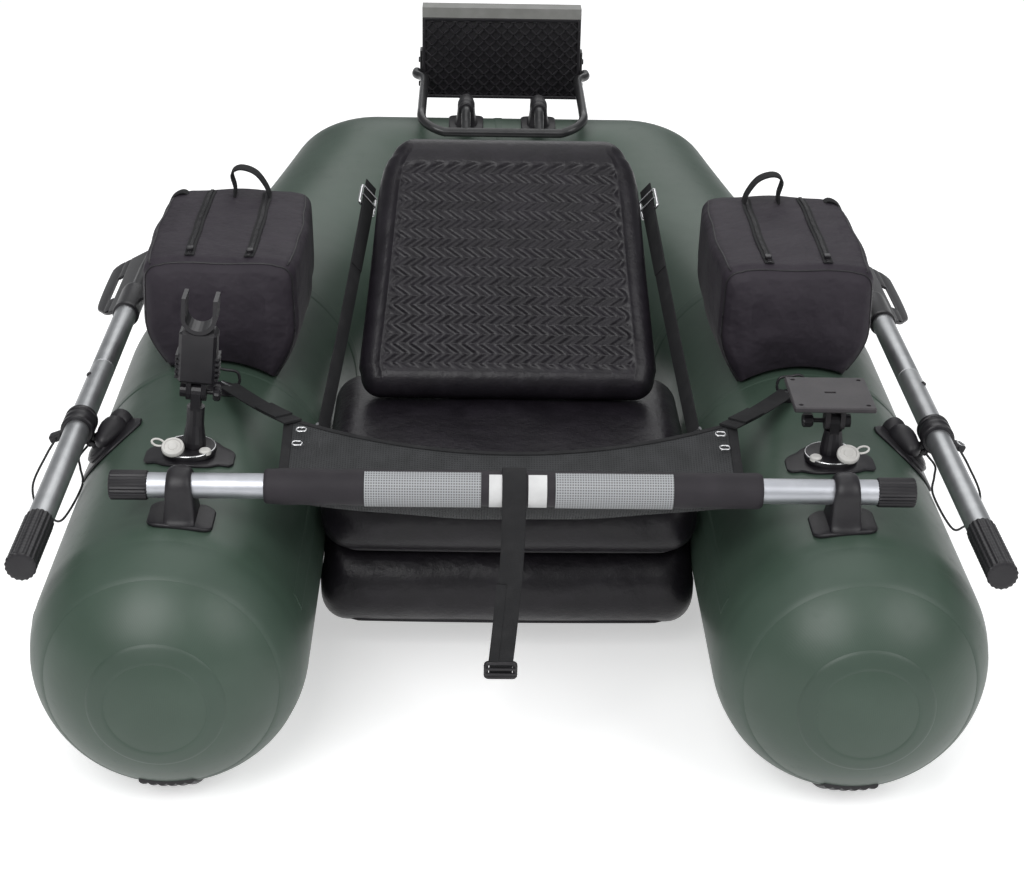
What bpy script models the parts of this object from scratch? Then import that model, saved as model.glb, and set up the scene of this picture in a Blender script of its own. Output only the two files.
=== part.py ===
"""Inflatable fishing float tube: a U-shaped hull with a seat, a stabiliser bar with a mesh apron, two stowed
oars, a rod holder, an instrument plate, two bags and a motor mount. Metres, +Z up, +X to the right as seen from
the open end, +Y from the open end of the U to the closed one. The origin is the middle of the footprint, on the
floor."""

import math

import bmesh
import bpy
import numpy as np
from mathutils import Matrix, Vector

# Driving sizes of the hull
TUBE_RADIUS = 0.165
SIDE_X = 0.406
STRAIGHT_LENGTH = 0.75
REAR_X = 0.241
REAR_Y = 1.385
REAR_RISE = 0.080
RISE_START = 0.60
DOME_LENGTH = 0.15
SIDE_BEND_ROUND = 0.30
CORNER_ROUND_INNER = 0.04
CORNER_ROUND_OUTER = 0.095
SECTION_SIDES = 28
DOME_STEPS = 5
CORNER_STEPS = 6

# Clearances
GAP = 0.0004
FIT = 0.0003

# Keel strakes
STRAKE_THICKNESS = 0.006
STRAKE_SIDES = 3
STRAKE_END_Y = 1.05

# The board ends the object at the rear
BOARD_FRONT = 1.602
BOARD_DEPTH = 0.038
CAP_WALL = 0.002

FACET_SHARE = math.cos(math.pi / SECTION_SIDES)
AXIS_Z = (TUBE_RADIUS + STRAKE_THICKNESS) * FACET_SHARE
REAR_END = BOARD_FRONT + BOARD_DEPTH
MIDDLE_Y = (REAR_END - DOME_LENGTH) / 2
SIDES = (("left", -1), ("right", 1))

COLOURS = {
    "hull_green": ((0.035, 0.085, 0.048), 0.38, 0.0),
    "black_vinyl": ((0.012, 0.012, 0.014), 0.33, 0.0),
    "black_rubber": ((0.016, 0.016, 0.018), 0.55, 0.0),
    "black_plastic": ((0.018, 0.018, 0.020), 0.45, 0.0),
    "grey_plastic": ((0.16, 0.155, 0.155), 0.50, 0.0),
    "white_plastic": ((0.78, 0.77, 0.72), 0.40, 0.0),
    "aluminium": ((0.78, 0.78, 0.80), 0.32, 1.0),
    "black_metal": ((0.02, 0.02, 0.022), 0.40, 0.6),
    "bag_cloth": ((0.022, 0.020, 0.027), 0.85, 0.0),
    "webbing": ((0.014, 0.013, 0.016), 0.80, 0.0),
    "mesh_cloth": ((0.030, 0.026, 0.030), 0.85, 0.0),
    "sleeve_cloth": ((0.022, 0.020, 0.024), 0.80, 0.0),
    "cord_black": ((0.012, 0.012, 0.012), 0.60, 0.0),
}


def clear_scene():
    """Removes what the start scene holds."""
    for old in list(bpy.data.objects):
        bpy.data.objects.remove(old, do_unlink=True)


def material(name):
    """The Principled material of this name, made on its first use."""
    found = bpy.data.materials.get(name)
    if found:
        return found
    made = bpy.data.materials.new(name)
    made.use_nodes = True
    colour, roughness, metallic = COLOURS[name]
    shader = made.node_tree.nodes["Principled BSDF"]
    shader.inputs["Base Color"].default_value = (*colour, 1.0)
    shader.inputs["Roughness"].default_value = roughness
    shader.inputs["Metallic"].default_value = metallic
    made.diffuse_color = (*colour, 1.0)
    return made


def solid(points, faces):
    """A mesh object of these points and faces, with its faces turned outward."""
    mesh = bpy.data.meshes.new("shape")
    mesh.from_pydata([tuple(float(c) for c in p) for p in points], [], [tuple(f) for f in faces])
    work = bmesh.new()
    work.from_mesh(mesh)
    bmesh.ops.recalc_face_normals(work, faces=work.faces)
    work.to_mesh(mesh)
    work.free()
    made = bpy.data.objects.new("shape", mesh)
    bpy.context.scene.collection.objects.link(made)
    return made


def loft(rings, first_pole=None, last_pole=None):
    """A closed skin through rings of equal point count, with flat ends or ends drawn to a pole."""
    rings = [np.asarray(ring, float) for ring in rings]
    sides = len(rings[0])
    points = [p for ring in rings for p in ring]
    faces = []
    for k in range(len(rings) - 1):
        for i in range(sides):
            j = (i + 1) % sides
            faces.append((k * sides + i, k * sides + j, (k + 1) * sides + j, (k + 1) * sides + i))
    for pole, start in ((first_pole, 0), (last_pole, (len(rings) - 1) * sides)):
        if pole is None:
            faces.append(range(start, start + sides))
        else:
            points.append(pole)
            faces += [(start + i, start + (i + 1) % sides, len(points) - 1) for i in range(sides)]
    return solid(points, faces)


def looped(rings):
    """A closed skin through rings that come back to the first one."""
    sides = len(rings[0])
    points = [p for ring in rings for p in ring]
    count = len(rings)
    faces = []
    for k in range(count):
        for i in range(sides):
            j = (i + 1) % sides
            after = (k + 1) % count
            faces.append((k * sides + i, k * sides + j, after * sides + j, after * sides + i))
    return solid(points, faces)


def directions(axis):
    """Two unit vectors square to the axis and to each other."""
    axis = Vector(axis).normalized()
    guide = Vector((0, 0, 1)) if abs(axis.z) < 0.9 else Vector((0, 1, 0))
    first = guide.cross(axis).normalized()
    return first, axis.cross(first), axis


def turned(profile, base, axis, sides=24):
    """A turned solid. Its profile of (radius, height) starts and ends on the axis, or closes on itself."""
    first, second, axis = directions(axis)
    base = Vector(base)
    points = []
    rows = []
    for radius, height in profile:
        if radius == 0:
            points.append(base + axis * height)
            rows.append([len(points) - 1] * sides)
            continue
        rows.append(range(len(points), len(points) + sides))
        for i in range(sides):
            turn = math.tau * i / sides
            points.append(base + axis * height + radius * (math.cos(turn) * first + math.sin(turn) * second))
    if profile[0][0] != 0:
        rows.append(rows[0])
    faces = []
    for low, high in zip(rows, rows[1:]):
        for i in range(sides):
            j = (i + 1) % sides
            face = [low[i], low[j], high[j], high[i]]
            faces.append(list(dict.fromkeys(face)))
    return solid(points, faces)


def rod(start, end, radius, sides=20):
    """A plain cylinder between two points."""
    run = Vector(end) - Vector(start)
    return turned(((0, 0), (radius, 0), (radius, run.length), (0, run.length)), start, run, sides)


def pipe(start, end, radius, bore, sides=20):
    """A tube that is open at both ends."""
    run = Vector(end) - Vector(start)
    profile = ((bore, 0), (radius, 0), (radius, run.length), (bore, run.length))
    return turned(profile, start, run, sides)


def swept(route, radius, sides=14):
    """A round bar along a route of points."""
    route = [Vector(p) for p in route]
    side = directions(route[1] - route[0])[0]
    rings = []
    for k, point in enumerate(route):
        before = (point - route[k - 1]).normalized() if k else (route[1] - point).normalized()
        after = (route[k + 1] - point).normalized() if k + 1 < len(route) else before
        along = (before + after).normalized()
        side = (side - along * side.dot(along)).normalized()
        other = along.cross(side)
        turns = [math.tau * i / sides for i in range(sides)]
        rings.append([point + radius * (math.cos(t) * side + math.sin(t) * other) for t in turns])
    return loft(rings)


def band(route, across, width, thickness):
    """A flat strap along a route; across gives the width direction at each point of the route."""
    route = [Vector(p) for p in route]
    rings = []
    for k, point in enumerate(route):
        before = (point - route[k - 1]).normalized() if k else (route[1] - point).normalized()
        after = (route[k + 1] - point).normalized() if k + 1 < len(route) else before
        along = (before + after).normalized()
        wide = Vector(across[k])
        wide = (wide - along * wide.dot(along)).normalized() * width / 2
        thick = along.cross(wide).normalized() * thickness / 2
        rings.append([point - wide - thick, point + wide - thick, point + wide + thick, point - wide + thick])
    return loft(rings)


def block(size, centre, bevel=0, turn=None, steps=1):
    """A box with bevelled edges, turned about its own centre."""
    made = solid([(0, 0, 0)], [])
    work = bmesh.new()
    bmesh.ops.create_cube(work, size=1)
    bmesh.ops.scale(work, vec=Vector(size), verts=work.verts)
    if bevel:
        bmesh.ops.bevel(work, geom=work.edges, offset=bevel, segments=steps, profile=0.5, affect="EDGES")
    if turn is not None:
        bmesh.ops.transform(work, matrix=turn, verts=work.verts)
    bmesh.ops.translate(work, vec=Vector(centre), verts=work.verts)
    work.to_mesh(made.data)
    work.free()
    return made


def extruded(outline, low, high, place):
    """A plate with this outline in (a, b), from low to high along c, put in place by place(a, b, c)."""
    rings = [[place(a, b, c) for a, b in outline] for c in (low, high)]
    return loft(rings)


def bored(target, kind, others):
    """The target joined with the others, or cut by them."""
    for other in others:
        step = target.modifiers.new("step", "BOOLEAN")
        step.operation = kind
        step.solver = "EXACT"
        step.object = other
    graph = bpy.context.evaluated_depsgraph_get()
    result = bpy.data.meshes.new_from_object(target.evaluated_get(graph))
    target.modifiers.clear()
    target.data = result
    for other in others:
        bpy.data.objects.remove(other, do_unlink=True)
    return target


def united(target, *others):
    """One solid out of pieces that overlap."""
    return bored(target, "UNION", others)


def cut(target, *others):
    """The target with the others taken out of it."""
    return bored(target, "DIFFERENCE", others)


def finish(made, name, slot, origin=(0, 0, 0)):
    """Names the node, gives it its material, and puts its origin at the given point of the drawing frame."""
    shift = Vector(origin)
    made.data.transform(Matrix.Translation(-shift))
    made.location = shift - Vector((0, MIDDLE_Y, 0))
    made.name = name
    made.data.name = name
    made.data.materials.clear()
    made.data.materials.append(material(slot))
    for face in made.data.polygons:
        face.use_smooth = True
    return made


def smooth_route(points, steps):
    """Points on a smooth curve through the given ones, steps to each span."""
    points = [Vector(p) for p in points]
    ends = [2 * points[0] - points[1], *points, 2 * points[-1] - points[-2]]
    route = []
    for a, b, c, d in zip(ends, ends[1:], ends[2:], ends[3:]):
        for k in range(steps):
            t = k / steps
            curve = 2 * b + (c - a) * t + (2 * a - 5 * b + 4 * c - d) * t**2 + (3 * b - a - 3 * c + d) * t**3
            route.append(curve / 2)
    return [*route, points[-1]]


# Shape of the hull


def rise(y):
    """How far the tube's axis is lifted at this distance from the front."""
    share = min(max((y - RISE_START) / (REAR_Y - RISE_START), 0), 1)
    return REAR_RISE * share**2


def outward(turn):
    """Unit vector in plan, turned from straight left towards the rear."""
    return np.array([-math.cos(turn), math.sin(turn)])


QUARTER_TURN = math.atan2(SIDE_X - REAR_X, REAR_Y - STRAIGHT_LENGTH)


def rounded_corner(corner, turns, offset, radius, steps):
    """Points of one length line round a corner of the path, at this offset outward of the axis."""
    first, last = (outward(t) for t in turns)
    tip = corner + offset * (first + last) / (1 + first @ last)
    reach = radius * math.tan((turns[1] - turns[0]) / 2)
    start = tip - reach * np.array([first[1], -first[0]])
    middle = start - radius * first
    return [middle + radius * outward(turns[0] + (turns[1] - turns[0]) * k / (steps - 1)) for k in range(steps)]


def half_line(offset):
    """Plan points of one length line of the left half, from the front to the middle of the rear tube."""
    share = offset / TUBE_RADIUS
    corner_round = (CORNER_ROUND_INNER + CORNER_ROUND_OUTER) / 2
    corner_round += share * (CORNER_ROUND_OUTER - CORNER_ROUND_INNER) / 2
    side = -SIDE_X - offset
    line = [np.array([side, 0.0]), np.array([side, STRAIGHT_LENGTH / 2])]
    bend = rounded_corner(np.array([-SIDE_X, STRAIGHT_LENGTH]), (0, QUARTER_TURN), offset, SIDE_BEND_ROUND, 3)
    turns = (QUARTER_TURN, math.pi / 2)
    corner = rounded_corner(np.array([-REAR_X, REAR_Y]), turns, offset, corner_round, CORNER_STEPS)
    line += bend
    for k in range(1, 4):
        line.append(bend[-1] + (corner[0] - bend[-1]) * k / 4)
    return line + corner


def section_turn(index):
    """Angle of a length line round the tube, from outward towards the top; a flat facet is at the bottom."""
    return math.tau * (index + 0.5) / SECTION_SIDES


def hull_rings(extra=0):
    """Rings of the left half of the hull and its middle ring, with the skin moved outward by extra."""
    radius = TUBE_RADIUS + extra
    rings = []
    for k in range(DOME_STEPS - 1, 0, -1):
        turn = math.pi / 2 * k / DOME_STEPS
        y = -(DOME_LENGTH + extra) * math.sin(turn)
        ring = []
        for i in range(SECTION_SIDES):
            a = section_turn(i)
            wide = radius * math.cos(turn)
            ring.append((-SIDE_X - wide * math.cos(a), y, AXIS_Z + wide * math.sin(a)))
        rings.append(ring)
    axis_line = half_line(0)
    lines = [half_line(radius * math.cos(section_turn(i))) for i in range(SECTION_SIDES)]
    for k, middle in enumerate(axis_line):
        lift = AXIS_Z + rise(middle[1])
        rings.append([(*lines[i][k], lift + radius * math.sin(section_turn(i))) for i in range(SECTION_SIDES)])
    last = [(0, lines[i][-1][1], lift + radius * math.sin(section_turn(i))) for i in range(SECTION_SIDES)]
    return rings, last


def make_hull():
    """The U-shaped air tube with its two domed front ends."""
    half, middle = hull_rings()
    other = [[(-x, y, z) for x, y, z in ring] for ring in reversed(half)]
    poles = [(side * SIDE_X, -DOME_LENGTH, AXIS_Z) for side in (-1, 1)]
    finish(loft([*half, middle, *other], *poles), "hull", "hull_green")


def make_strake(name, side):
    """The wear strip under one side tube, from the underside of the dome to the rear quarter."""
    inner, _ = hull_rings(GAP)
    outer, _ = hull_rings(STRAKE_THICKNESS)
    first = 3 * SECTION_SIDES // 4 - (STRAKE_SIDES + 1) // 2
    picked = range(first, first + STRAKE_SIDES + 1)
    rings = []
    for low, high in zip(outer[2:], inner[2:]):
        if low[0][1] > STRAKE_END_Y:
            break
        rings.append([low[i] for i in picked] + [high[i] for i in reversed(picked)])
    rings = [[(-side * x, y, z) for x, y, z in ring] for ring in rings]
    finish(loft(rings), name, "black_rubber")


def side_place(side, turn, y):
    """Maps (u round a side tube, v along it, height above it); turn is outward from the top."""

    def place(u, v, height):
        reach = TUBE_RADIUS + GAP + height
        angle = turn + u / TUBE_RADIUS
        return (side * (SIDE_X + reach * math.sin(angle)), y + v, AXIS_Z + reach * math.cos(angle))

    return place


def rear_place(x, turn):
    """Maps (u round the rear tube, v along it, height above it); turn is back from the top."""

    def place(u, v, height):
        reach = TUBE_RADIUS + GAP + height
        angle = turn + u / TUBE_RADIUS
        return (x + v, REAR_Y + reach * math.sin(angle), AXIS_Z + REAR_RISE + reach * math.cos(angle))

    return place


def pad(place, outline, thickness):
    """A patch bent round the tube. The outline lists (u, lowest v, highest v)."""
    rings = []
    for u, low, high in outline:
        rings.append([place(u, low, 0), place(u, high, 0), place(u, high, thickness), place(u, low, thickness)])
    return loft(rings)


def oval(half_u, half_v, shares):
    """Outline rows of a patch, from shares of (half_u, half_v)."""
    rows = [(half_u * a, -half_v * b, half_v * b) for a, b in shares]
    return rows


ROUND_SHARES = (
    (-1.0, 0.22), (-0.92, 0.45), (-0.75, 0.70), (-0.5, 0.88), (-0.25, 0.97), (0.0, 1.0),
    (0.25, 0.97), (0.5, 0.88), (0.75, 0.70), (0.92, 0.45), (1.0, 0.22),
)
OCTAGON_SHARES = (
    (-1.0, 0.60), (-0.88, 0.85), (-0.65, 1.0), (-0.3, 1.0), (0.0, 1.0),
    (0.3, 1.0), (0.65, 1.0), (0.88, 0.85), (1.0, 0.60),
)
WING_SHARES = (
    (-1.0, 0.30), (-0.93, 0.48), (-0.82, 0.56), (-0.70, 0.62), (-0.52, 0.84), (-0.28, 0.97), (0.0, 1.0),
    (0.28, 0.97), (0.52, 0.84), (0.70, 0.62), (0.82, 0.56), (0.93, 0.48), (1.0, 0.30),
)
TEAR_SHARES = (
    (-1.0, 0.16), (-0.85, 0.42), (-0.62, 0.72), (-0.38, 0.93), (-0.12, 1.0),
    (0.15, 0.96), (0.42, 0.80), (0.68, 0.55), (0.88, 0.34), (1.0, 0.14),
)

# Seat

SEAT_FRONT = 0.19
SEAT_REAR = 0.60
CUSHION_HALF = 0.0495
CUSHION_BOTTOM = 0.184
CUSHION_WIDE = 0.242
CUSHION_CROWN = 0.006
CUSHION_EDGE = 0.040
BASE_FRONT = 0.220
BASE_REAR = 0.615
BASE_HALF = 0.06375
BASE_BOTTOM = 0.056
BASE_WIDE = 0.246
BASE_EDGE = 0.035
EDGE_STEPS = 4
CUSHION_DRAW = 0.006
MIDDLE_SHARES = (-0.6, -0.2, 0.2, 0.6)


def pillow(front, rear, bottom, half, wide, edge, crown, draw):
    """A stuffed block across the hull with round front and rear, whose ends press against the side tubes."""
    across = []
    for k in range(EDGE_STEPS + 1):
        turn = math.pi / 2 * k / EDGE_STEPS
        across.append((-wide + edge * (1 - math.cos(turn)), edge * (1 - math.sin(turn))))
    inner = wide - edge
    stations = across + [(inner * share, 0) for share in MIDDLE_SHARES]
    stations += [(-x, inset) for x, inset in reversed(across)]
    rings = []
    for x, inset in stations:
        radius = half - inset
        share = 1 - (x / wide) ** 2
        ring = []
        for k in range(8):
            turn = math.pi * (k / 7 - 0.5)
            bulge = draw * share * max(math.cos(turn), 0)
            ring.append((front + half - bulge - radius * math.cos(turn), radius * math.sin(turn)))
        middle = (front + rear) / 2
        for step in (-0.5, 0, 0.5):
            y = middle + step * (rear - front - 2 * half)
            ring.append((y, radius + crown * share * (1 - (2 * step) ** 2 / 2)))
        for k in range(8):
            turn = math.pi * (0.5 - k / 7)
            ring.append((rear - half + radius * math.cos(turn), radius * math.sin(turn)))
        ring.append((middle, -radius))
        placed = []
        for y, z in ring:
            z += bottom + half
            room = SIDE_X - math.sqrt(TUBE_RADIUS**2 - (z - AXIS_Z) ** 2) - GAP
            placed.append((math.copysign(min(abs(x), room), x), y, z))
        rings.append(placed)
    return loft(rings)


def make_seat():
    """The lower seat block and the seat cushion on it."""
    base = pillow(BASE_FRONT, BASE_REAR, BASE_BOTTOM, BASE_HALF, BASE_WIDE, BASE_EDGE, 0, CUSHION_DRAW)
    finish(base, "seat_base", "black_vinyl")
    shape = (SEAT_FRONT, SEAT_REAR, CUSHION_BOTTOM, CUSHION_HALF, CUSHION_WIDE, CUSHION_EDGE)
    finish(pillow(*shape, CUSHION_CROWN, CUSHION_DRAW), "seat_cushion", "black_vinyl")


# Backrest

BACK_HALF = 0.028
BACK_LENGTH = 0.3214
BACK_LEAN = math.radians(39)
BACK_PIVOT_Y = 0.480
BACK_SETTLE = 0.0018
BACK_PIVOT_Z = CUSHION_BOTTOM + 2 * CUSHION_HALF + CUSHION_CROWN - BACK_SETTLE + GAP + BACK_HALF
BACK_BULGE = 0.004
BACK_WIDTH_BOTTOM = 0.215
# Length along the pad over its straight length, and half width over the half width at the bottom
BACK_OUTLINE_SHARES = (
    (0.0, 1.0), (0.22, 0.97), (0.44, 0.94), (0.64, 0.905),
    (0.80, 0.87), (0.90, 0.835), (0.96, 0.79), (1.0, 0.745),
)


def back_place(x, along, out):
    """Maps (across, up the pad, out of its front) to the drawing frame."""
    y = BACK_PIVOT_Y + along * math.sin(BACK_LEAN) - out * math.cos(BACK_LEAN)
    z = BACK_PIVOT_Z + along * math.cos(BACK_LEAN) + out * math.sin(BACK_LEAN)
    return (x, y, z)


def make_backrest():
    """The reclined pad behind the seat, with full round edges."""
    rows = []
    for k in range(3, 0, -1):
        turn = math.pi / 2 * k / 3.4
        rows.append((-BACK_HALF * math.sin(turn), BACK_WIDTH_BOTTOM, BACK_HALF * math.cos(turn)))
    for along, wide in BACK_OUTLINE_SHARES:
        rows.append((along * BACK_LENGTH, wide * BACK_WIDTH_BOTTOM, BACK_HALF))
    for k in range(1, 4):
        turn = math.pi / 2 * k / 3.4
        wide = BACK_OUTLINE_SHARES[-1][1] * BACK_WIDTH_BOTTOM
        rows.append((BACK_LENGTH + BACK_HALF * math.sin(turn), wide, BACK_HALF * math.cos(turn)))
    rings = []
    for along, wide, half in rows:
        wide -= BACK_HALF - half
        ring = []
        for side in (1, -1):
            for k in range(6):
                turn = math.pi * (k / 5 - 0.5)
                ring.append((side * (wide - half + half * math.cos(turn)), side * half * math.sin(turn)))
            for share in (0.5, 0, -0.5):
                bulge = BACK_BULGE * math.sin(math.pi * min(max(along / BACK_LENGTH, 0), 1)) * (1 - share**2)
                out = half + bulge if side > 0 else -half
                ring.append((side * share * (wide - half), out))
        rings.append([back_place(x, along, out) for x, out in ring])
    origin = (0, BACK_PIVOT_Y, BACK_PIVOT_Z)
    finish(loft(rings), "backrest", "black_vinyl", origin)


RING_WIRE = 0.002
STRAP_RING_TURN = math.radians(-56)
STRAP_RING_Y = 0.330
RING_PAD_HALF = 0.018
PAD_THICKNESS = 0.002
RING_HALF = 0.016
RING_DEPTH = 0.012
RING_LIFT = 0.010

STRAP_WIDTH = 0.025
STRAP_THICKNESS = 0.002
BACK_STRAP_TOP = (0.200, 0.672, 0.506)
BUCKLE_SIZE = (0.006, 0.036, 0.030)
BUCKLE_BEVEL = 0.0015
HOOK_WIRE = 0.0025
HOOK_EYE = 0.0095
HOOK_NECK = 0.004
HOOK_DROP = 0.018
HOOK_PLAY = 0.0032
STRAP_TAIL = 0.030


def ring_wire(place, crossways):
    """A wire ring on its patch, with its crosspiece round the tube, or along it when crossways is False."""
    corners = [(RING_HALF, 0), (RING_HALF, RING_LIFT), (RING_HALF * 0.9, RING_LIFT + RING_DEPTH * 0.75)]
    corners.append((RING_HALF * 0.55, RING_LIFT + RING_DEPTH))
    corners += [(-a, h) for a, h in reversed(corners)]
    points = [place(a, 0, h) if crossways else place(0, a, h) for a, h in corners]
    return swept(points, RING_WIRE, 8)


def make_strap_ring(name, side):
    """The ring on the inner side of the hull that holds a backrest strap."""
    place = side_place(side, STRAP_RING_TURN, STRAP_RING_Y)
    patch = pad(place, oval(RING_PAD_HALF, RING_PAD_HALF, ROUND_SHARES), PAD_THICKNESS)
    finish(united(patch, ring_wire(place, True)), name, "black_plastic")


def make_back_strap(name, side):
    """One side strap of the backrest, with its slide buckle and the hook that meets its ring."""
    crosspiece = Vector(side_place(1, STRAP_RING_TURN, STRAP_RING_Y)(0, 0, RING_LIFT + RING_DEPTH))
    eye = crosspiece - Vector((0, HOOK_EYE + HOOK_WIRE + RING_WIRE + HOOK_PLAY, 0))
    top = Vector(BACK_STRAP_TOP)
    run = (eye - top).normalized()
    end = eye - run * (HOOK_EYE + HOOK_DROP)
    wide = run.cross(Vector((1, 0, 0))).normalized()
    wide = (wide + Vector((0.6, 0, 0))).normalized()
    wide = (wide - run * wide.dot(run)).normalized()
    thick = run.cross(wide)
    strap = band([top - run * STRAP_TAIL, top + (end - top) / 2, end], [wide] * 3, STRAP_WIDTH, STRAP_THICKNESS)
    turn = Matrix((thick, wide, run)).transposed().to_4x4()
    buckle = block(BUCKLE_SIZE, top, BUCKLE_BEVEL, turn)
    neck = rod(end - run * HOOK_EYE, eye - run * HOOK_EYE, HOOK_NECK, 10)
    corners = [math.tau * k / 14 for k in range(14)]
    rings = []
    for turned_by in corners:
        middle = eye + HOOK_EYE * (-math.cos(turned_by) * run + math.sin(turned_by) * thick)
        spoke = (middle - eye).normalized()
        around = [math.tau * i / 8 for i in range(8)]
        rings.append([middle + HOOK_WIRE * (math.cos(t) * spoke + math.sin(t) * wide) for t in around])
    made = united(strap, buckle, neck, looped(rings))
    if side < 0:
        made.data.transform(Matrix.Scale(-1, 4, (1, 0, 0)))
        made.data.flip_normals()
    origin = (side * BACK_STRAP_TOP[0], BACK_STRAP_TOP[1], BACK_STRAP_TOP[2])
    finish(made, name, "webbing", origin)


# Stabiliser bar

BAR_Y = 0.019
BAR_Z = 0.375
BAR_RADIUS = 0.015
BAR_BORE = 0.0135
BAR_HALF = 0.465
BAR_CAP_RADIUS = 0.0175
BAR_CAP_LENGTH = 0.045
BAR_CAP_END = 0.004
CAP_EDGE = 0.002
CAP_RIBS = 12
CAP_GROOVE = 0.001
SLEEVE_HALF = 0.290
SLEEVE_RADIUS = 0.021
LOOP_INSET = 0.077
LOOP_X = BAR_HALF - LOOP_INSET
LOOP_WIDTH = 0.034
LOOP_RADIUS = 0.0235
LOOP_FOOT = 0.030
LOOP_EDGE = 0.003
LOOP_PAD_U = 0.038
LOOP_PAD_V = 0.031
LOOP_PAD_THICKNESS = 0.005
LOOP_SINK = 0.002


def ribbed(profile, base, axis, ribs, groove):
    """A turned solid whose skin is grooved lengthwise where the profile's third value is 1."""
    first, second, axis = directions(axis)
    base = Vector(base)
    rings = []
    for radius, height, share in profile:
        ring = []
        for i in range(2 * ribs):
            turn = math.tau * i / (2 * ribs)
            reach = radius - groove * share * (i % 2)
            ring.append(base + axis * height + reach * (math.cos(turn) * first + math.sin(turn) * second))
        rings.append(ring)
    return loft(rings)


def make_bar():
    """The aluminium cross bar, its two ribbed end caps and the padded sleeve round its middle."""
    bar = pipe((-BAR_HALF, BAR_Y, BAR_Z), (BAR_HALF, BAR_Y, BAR_Z), BAR_RADIUS, BAR_BORE, 24)
    finish(bar, "crossbar_tube", "aluminium", (0, BAR_Y, BAR_Z))
    for word, side in SIDES:
        end = side * (BAR_HALF + BAR_CAP_END + GAP)
        profile = (
            (BAR_CAP_RADIUS - CAP_EDGE, 0, 0), (BAR_CAP_RADIUS, CAP_EDGE, 1),
            (BAR_CAP_RADIUS, BAR_CAP_LENGTH - CAP_EDGE, 1), (BAR_CAP_RADIUS - CAP_EDGE, BAR_CAP_LENGTH, 0),
        )
        cap = ribbed(profile, (end, BAR_Y, BAR_Z), (-side, 0, 0), CAP_RIBS, CAP_GROOVE)
        bore_start = (end - side * BAR_CAP_END, BAR_Y, BAR_Z)
        bore_end = (end - side * BAR_CAP_LENGTH * 2, BAR_Y, BAR_Z)
        bore = rod(bore_start, bore_end, BAR_RADIUS + FIT, 24)
        finish(cut(cap, bore), f"crossbar_cap_{word}", "black_rubber", (0, BAR_Y, BAR_Z))
    ends = ((-SLEEVE_HALF, BAR_Y, BAR_Z), (SLEEVE_HALF, BAR_Y, BAR_Z))
    sleeve = pipe(*ends, SLEEVE_RADIUS, BAR_RADIUS + FIT, 24)
    finish(sleeve, "crossbar_sleeve", "sleeve_cloth", (0, BAR_Y, BAR_Z))


def make_loop(name, side):
    """One rubber loop on its patch; the bar passes through it."""
    turn = math.asin((LOOP_X - SIDE_X) / TUBE_RADIUS)
    place = side_place(side, turn, BAR_Y)
    patch = pad(place, oval(LOOP_PAD_U, LOOP_PAD_V, OCTAGON_SHARES), LOOP_PAD_THICKNESS)
    foot_z = AXIS_Z + math.sqrt(TUBE_RADIUS**2 - (SIDE_X - LOOP_X) ** 2) + LOOP_SINK
    rings = []
    half = LOOP_WIDTH / 2
    for x, inset in ((-half, LOOP_EDGE), (-half + LOOP_EDGE, 0), (half - LOOP_EDGE, 0), (half, LOOP_EDGE)):
        outline = [(-LOOP_FOOT + inset, foot_z)]
        for k in range(11):
            bend = math.pi * k / 10
            reach = LOOP_RADIUS - inset
            outline.append((-reach * math.cos(bend), BAR_Z + reach * math.sin(bend)))
        outline.append((LOOP_FOOT - inset, foot_z))
        rings.append([(side * LOOP_X + x, BAR_Y + y, z) for y, z in outline])
    body = loft(rings)
    made = united(patch, body)
    bore_start = (side * LOOP_X - LOOP_WIDTH, BAR_Y, BAR_Z)
    bore_end = (side * LOOP_X + LOOP_WIDTH, BAR_Y, BAR_Z)
    bore = rod(bore_start, bore_end, BAR_RADIUS + FIT, 18)
    finish(cut(made, bore), name, "black_rubber")


# Mesh apron behind the bar, with its corner straps

APRON_WIDE = 0.280
APRON_THICKNESS = 0.002
APRON_REAR_Y = 0.236
APRON_REAR_Z = 0.362
APRON_REAR_DIP = 0.026
APRON_REAR_PULL = 0.040
APRON_SAG_Y = 0.055
APRON_SAG_Z = 0.306
APRON_TIE = (0.380, 0.392, 0.3435)
APRON_TIE_ROOT = 0.018
NOTCH_HALF = 0.0165
NOTCH_DEPTH = 0.0052
APRON_COLUMN_SHARES = (-1.0, -0.85, -0.65, -0.45, -0.25, 0.25, 0.45, 0.65, 0.85, 1.0)
TIE_HOOK_WIRE = 0.0022
TIE_HOOK_REACH = 0.016


def apron_row(x):
    """Points of one fore and aft row of the apron, from under the sleeve through the sag to the rear hem."""
    share = 1 - (x / APRON_WIDE) ** 2
    low = SLEEVE_RADIUS + GAP
    drop = low + NOTCH_DEPTH if abs(x) < NOTCH_HALF + GAP else low
    lean = math.radians(35)
    hem = (BAR_Y + drop * math.sin(lean), BAR_Z - drop * math.cos(lean))
    sag = (APRON_SAG_Y, APRON_SAG_Z + (1 - share) * APRON_REAR_DIP)
    rear = (APRON_REAR_Y - APRON_REAR_PULL * share, APRON_REAR_Z - APRON_REAR_DIP * share)
    route = []
    for k in range(7):
        t = k / 6
        pull = 2.2 * sag[1] - 0.6 * (hem[1] + rear[1])
        y = (1 - t) ** 2 * hem[0] + 2 * t * (1 - t) * (sag[0] + APRON_SAG_Y) / 1.6 + t**2 * rear[0]
        z = (1 - t) ** 2 * hem[1] + 2 * t * (1 - t) * pull + t**2 * rear[1]
        route.append(Vector((x, y, z)))
    return route


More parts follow.
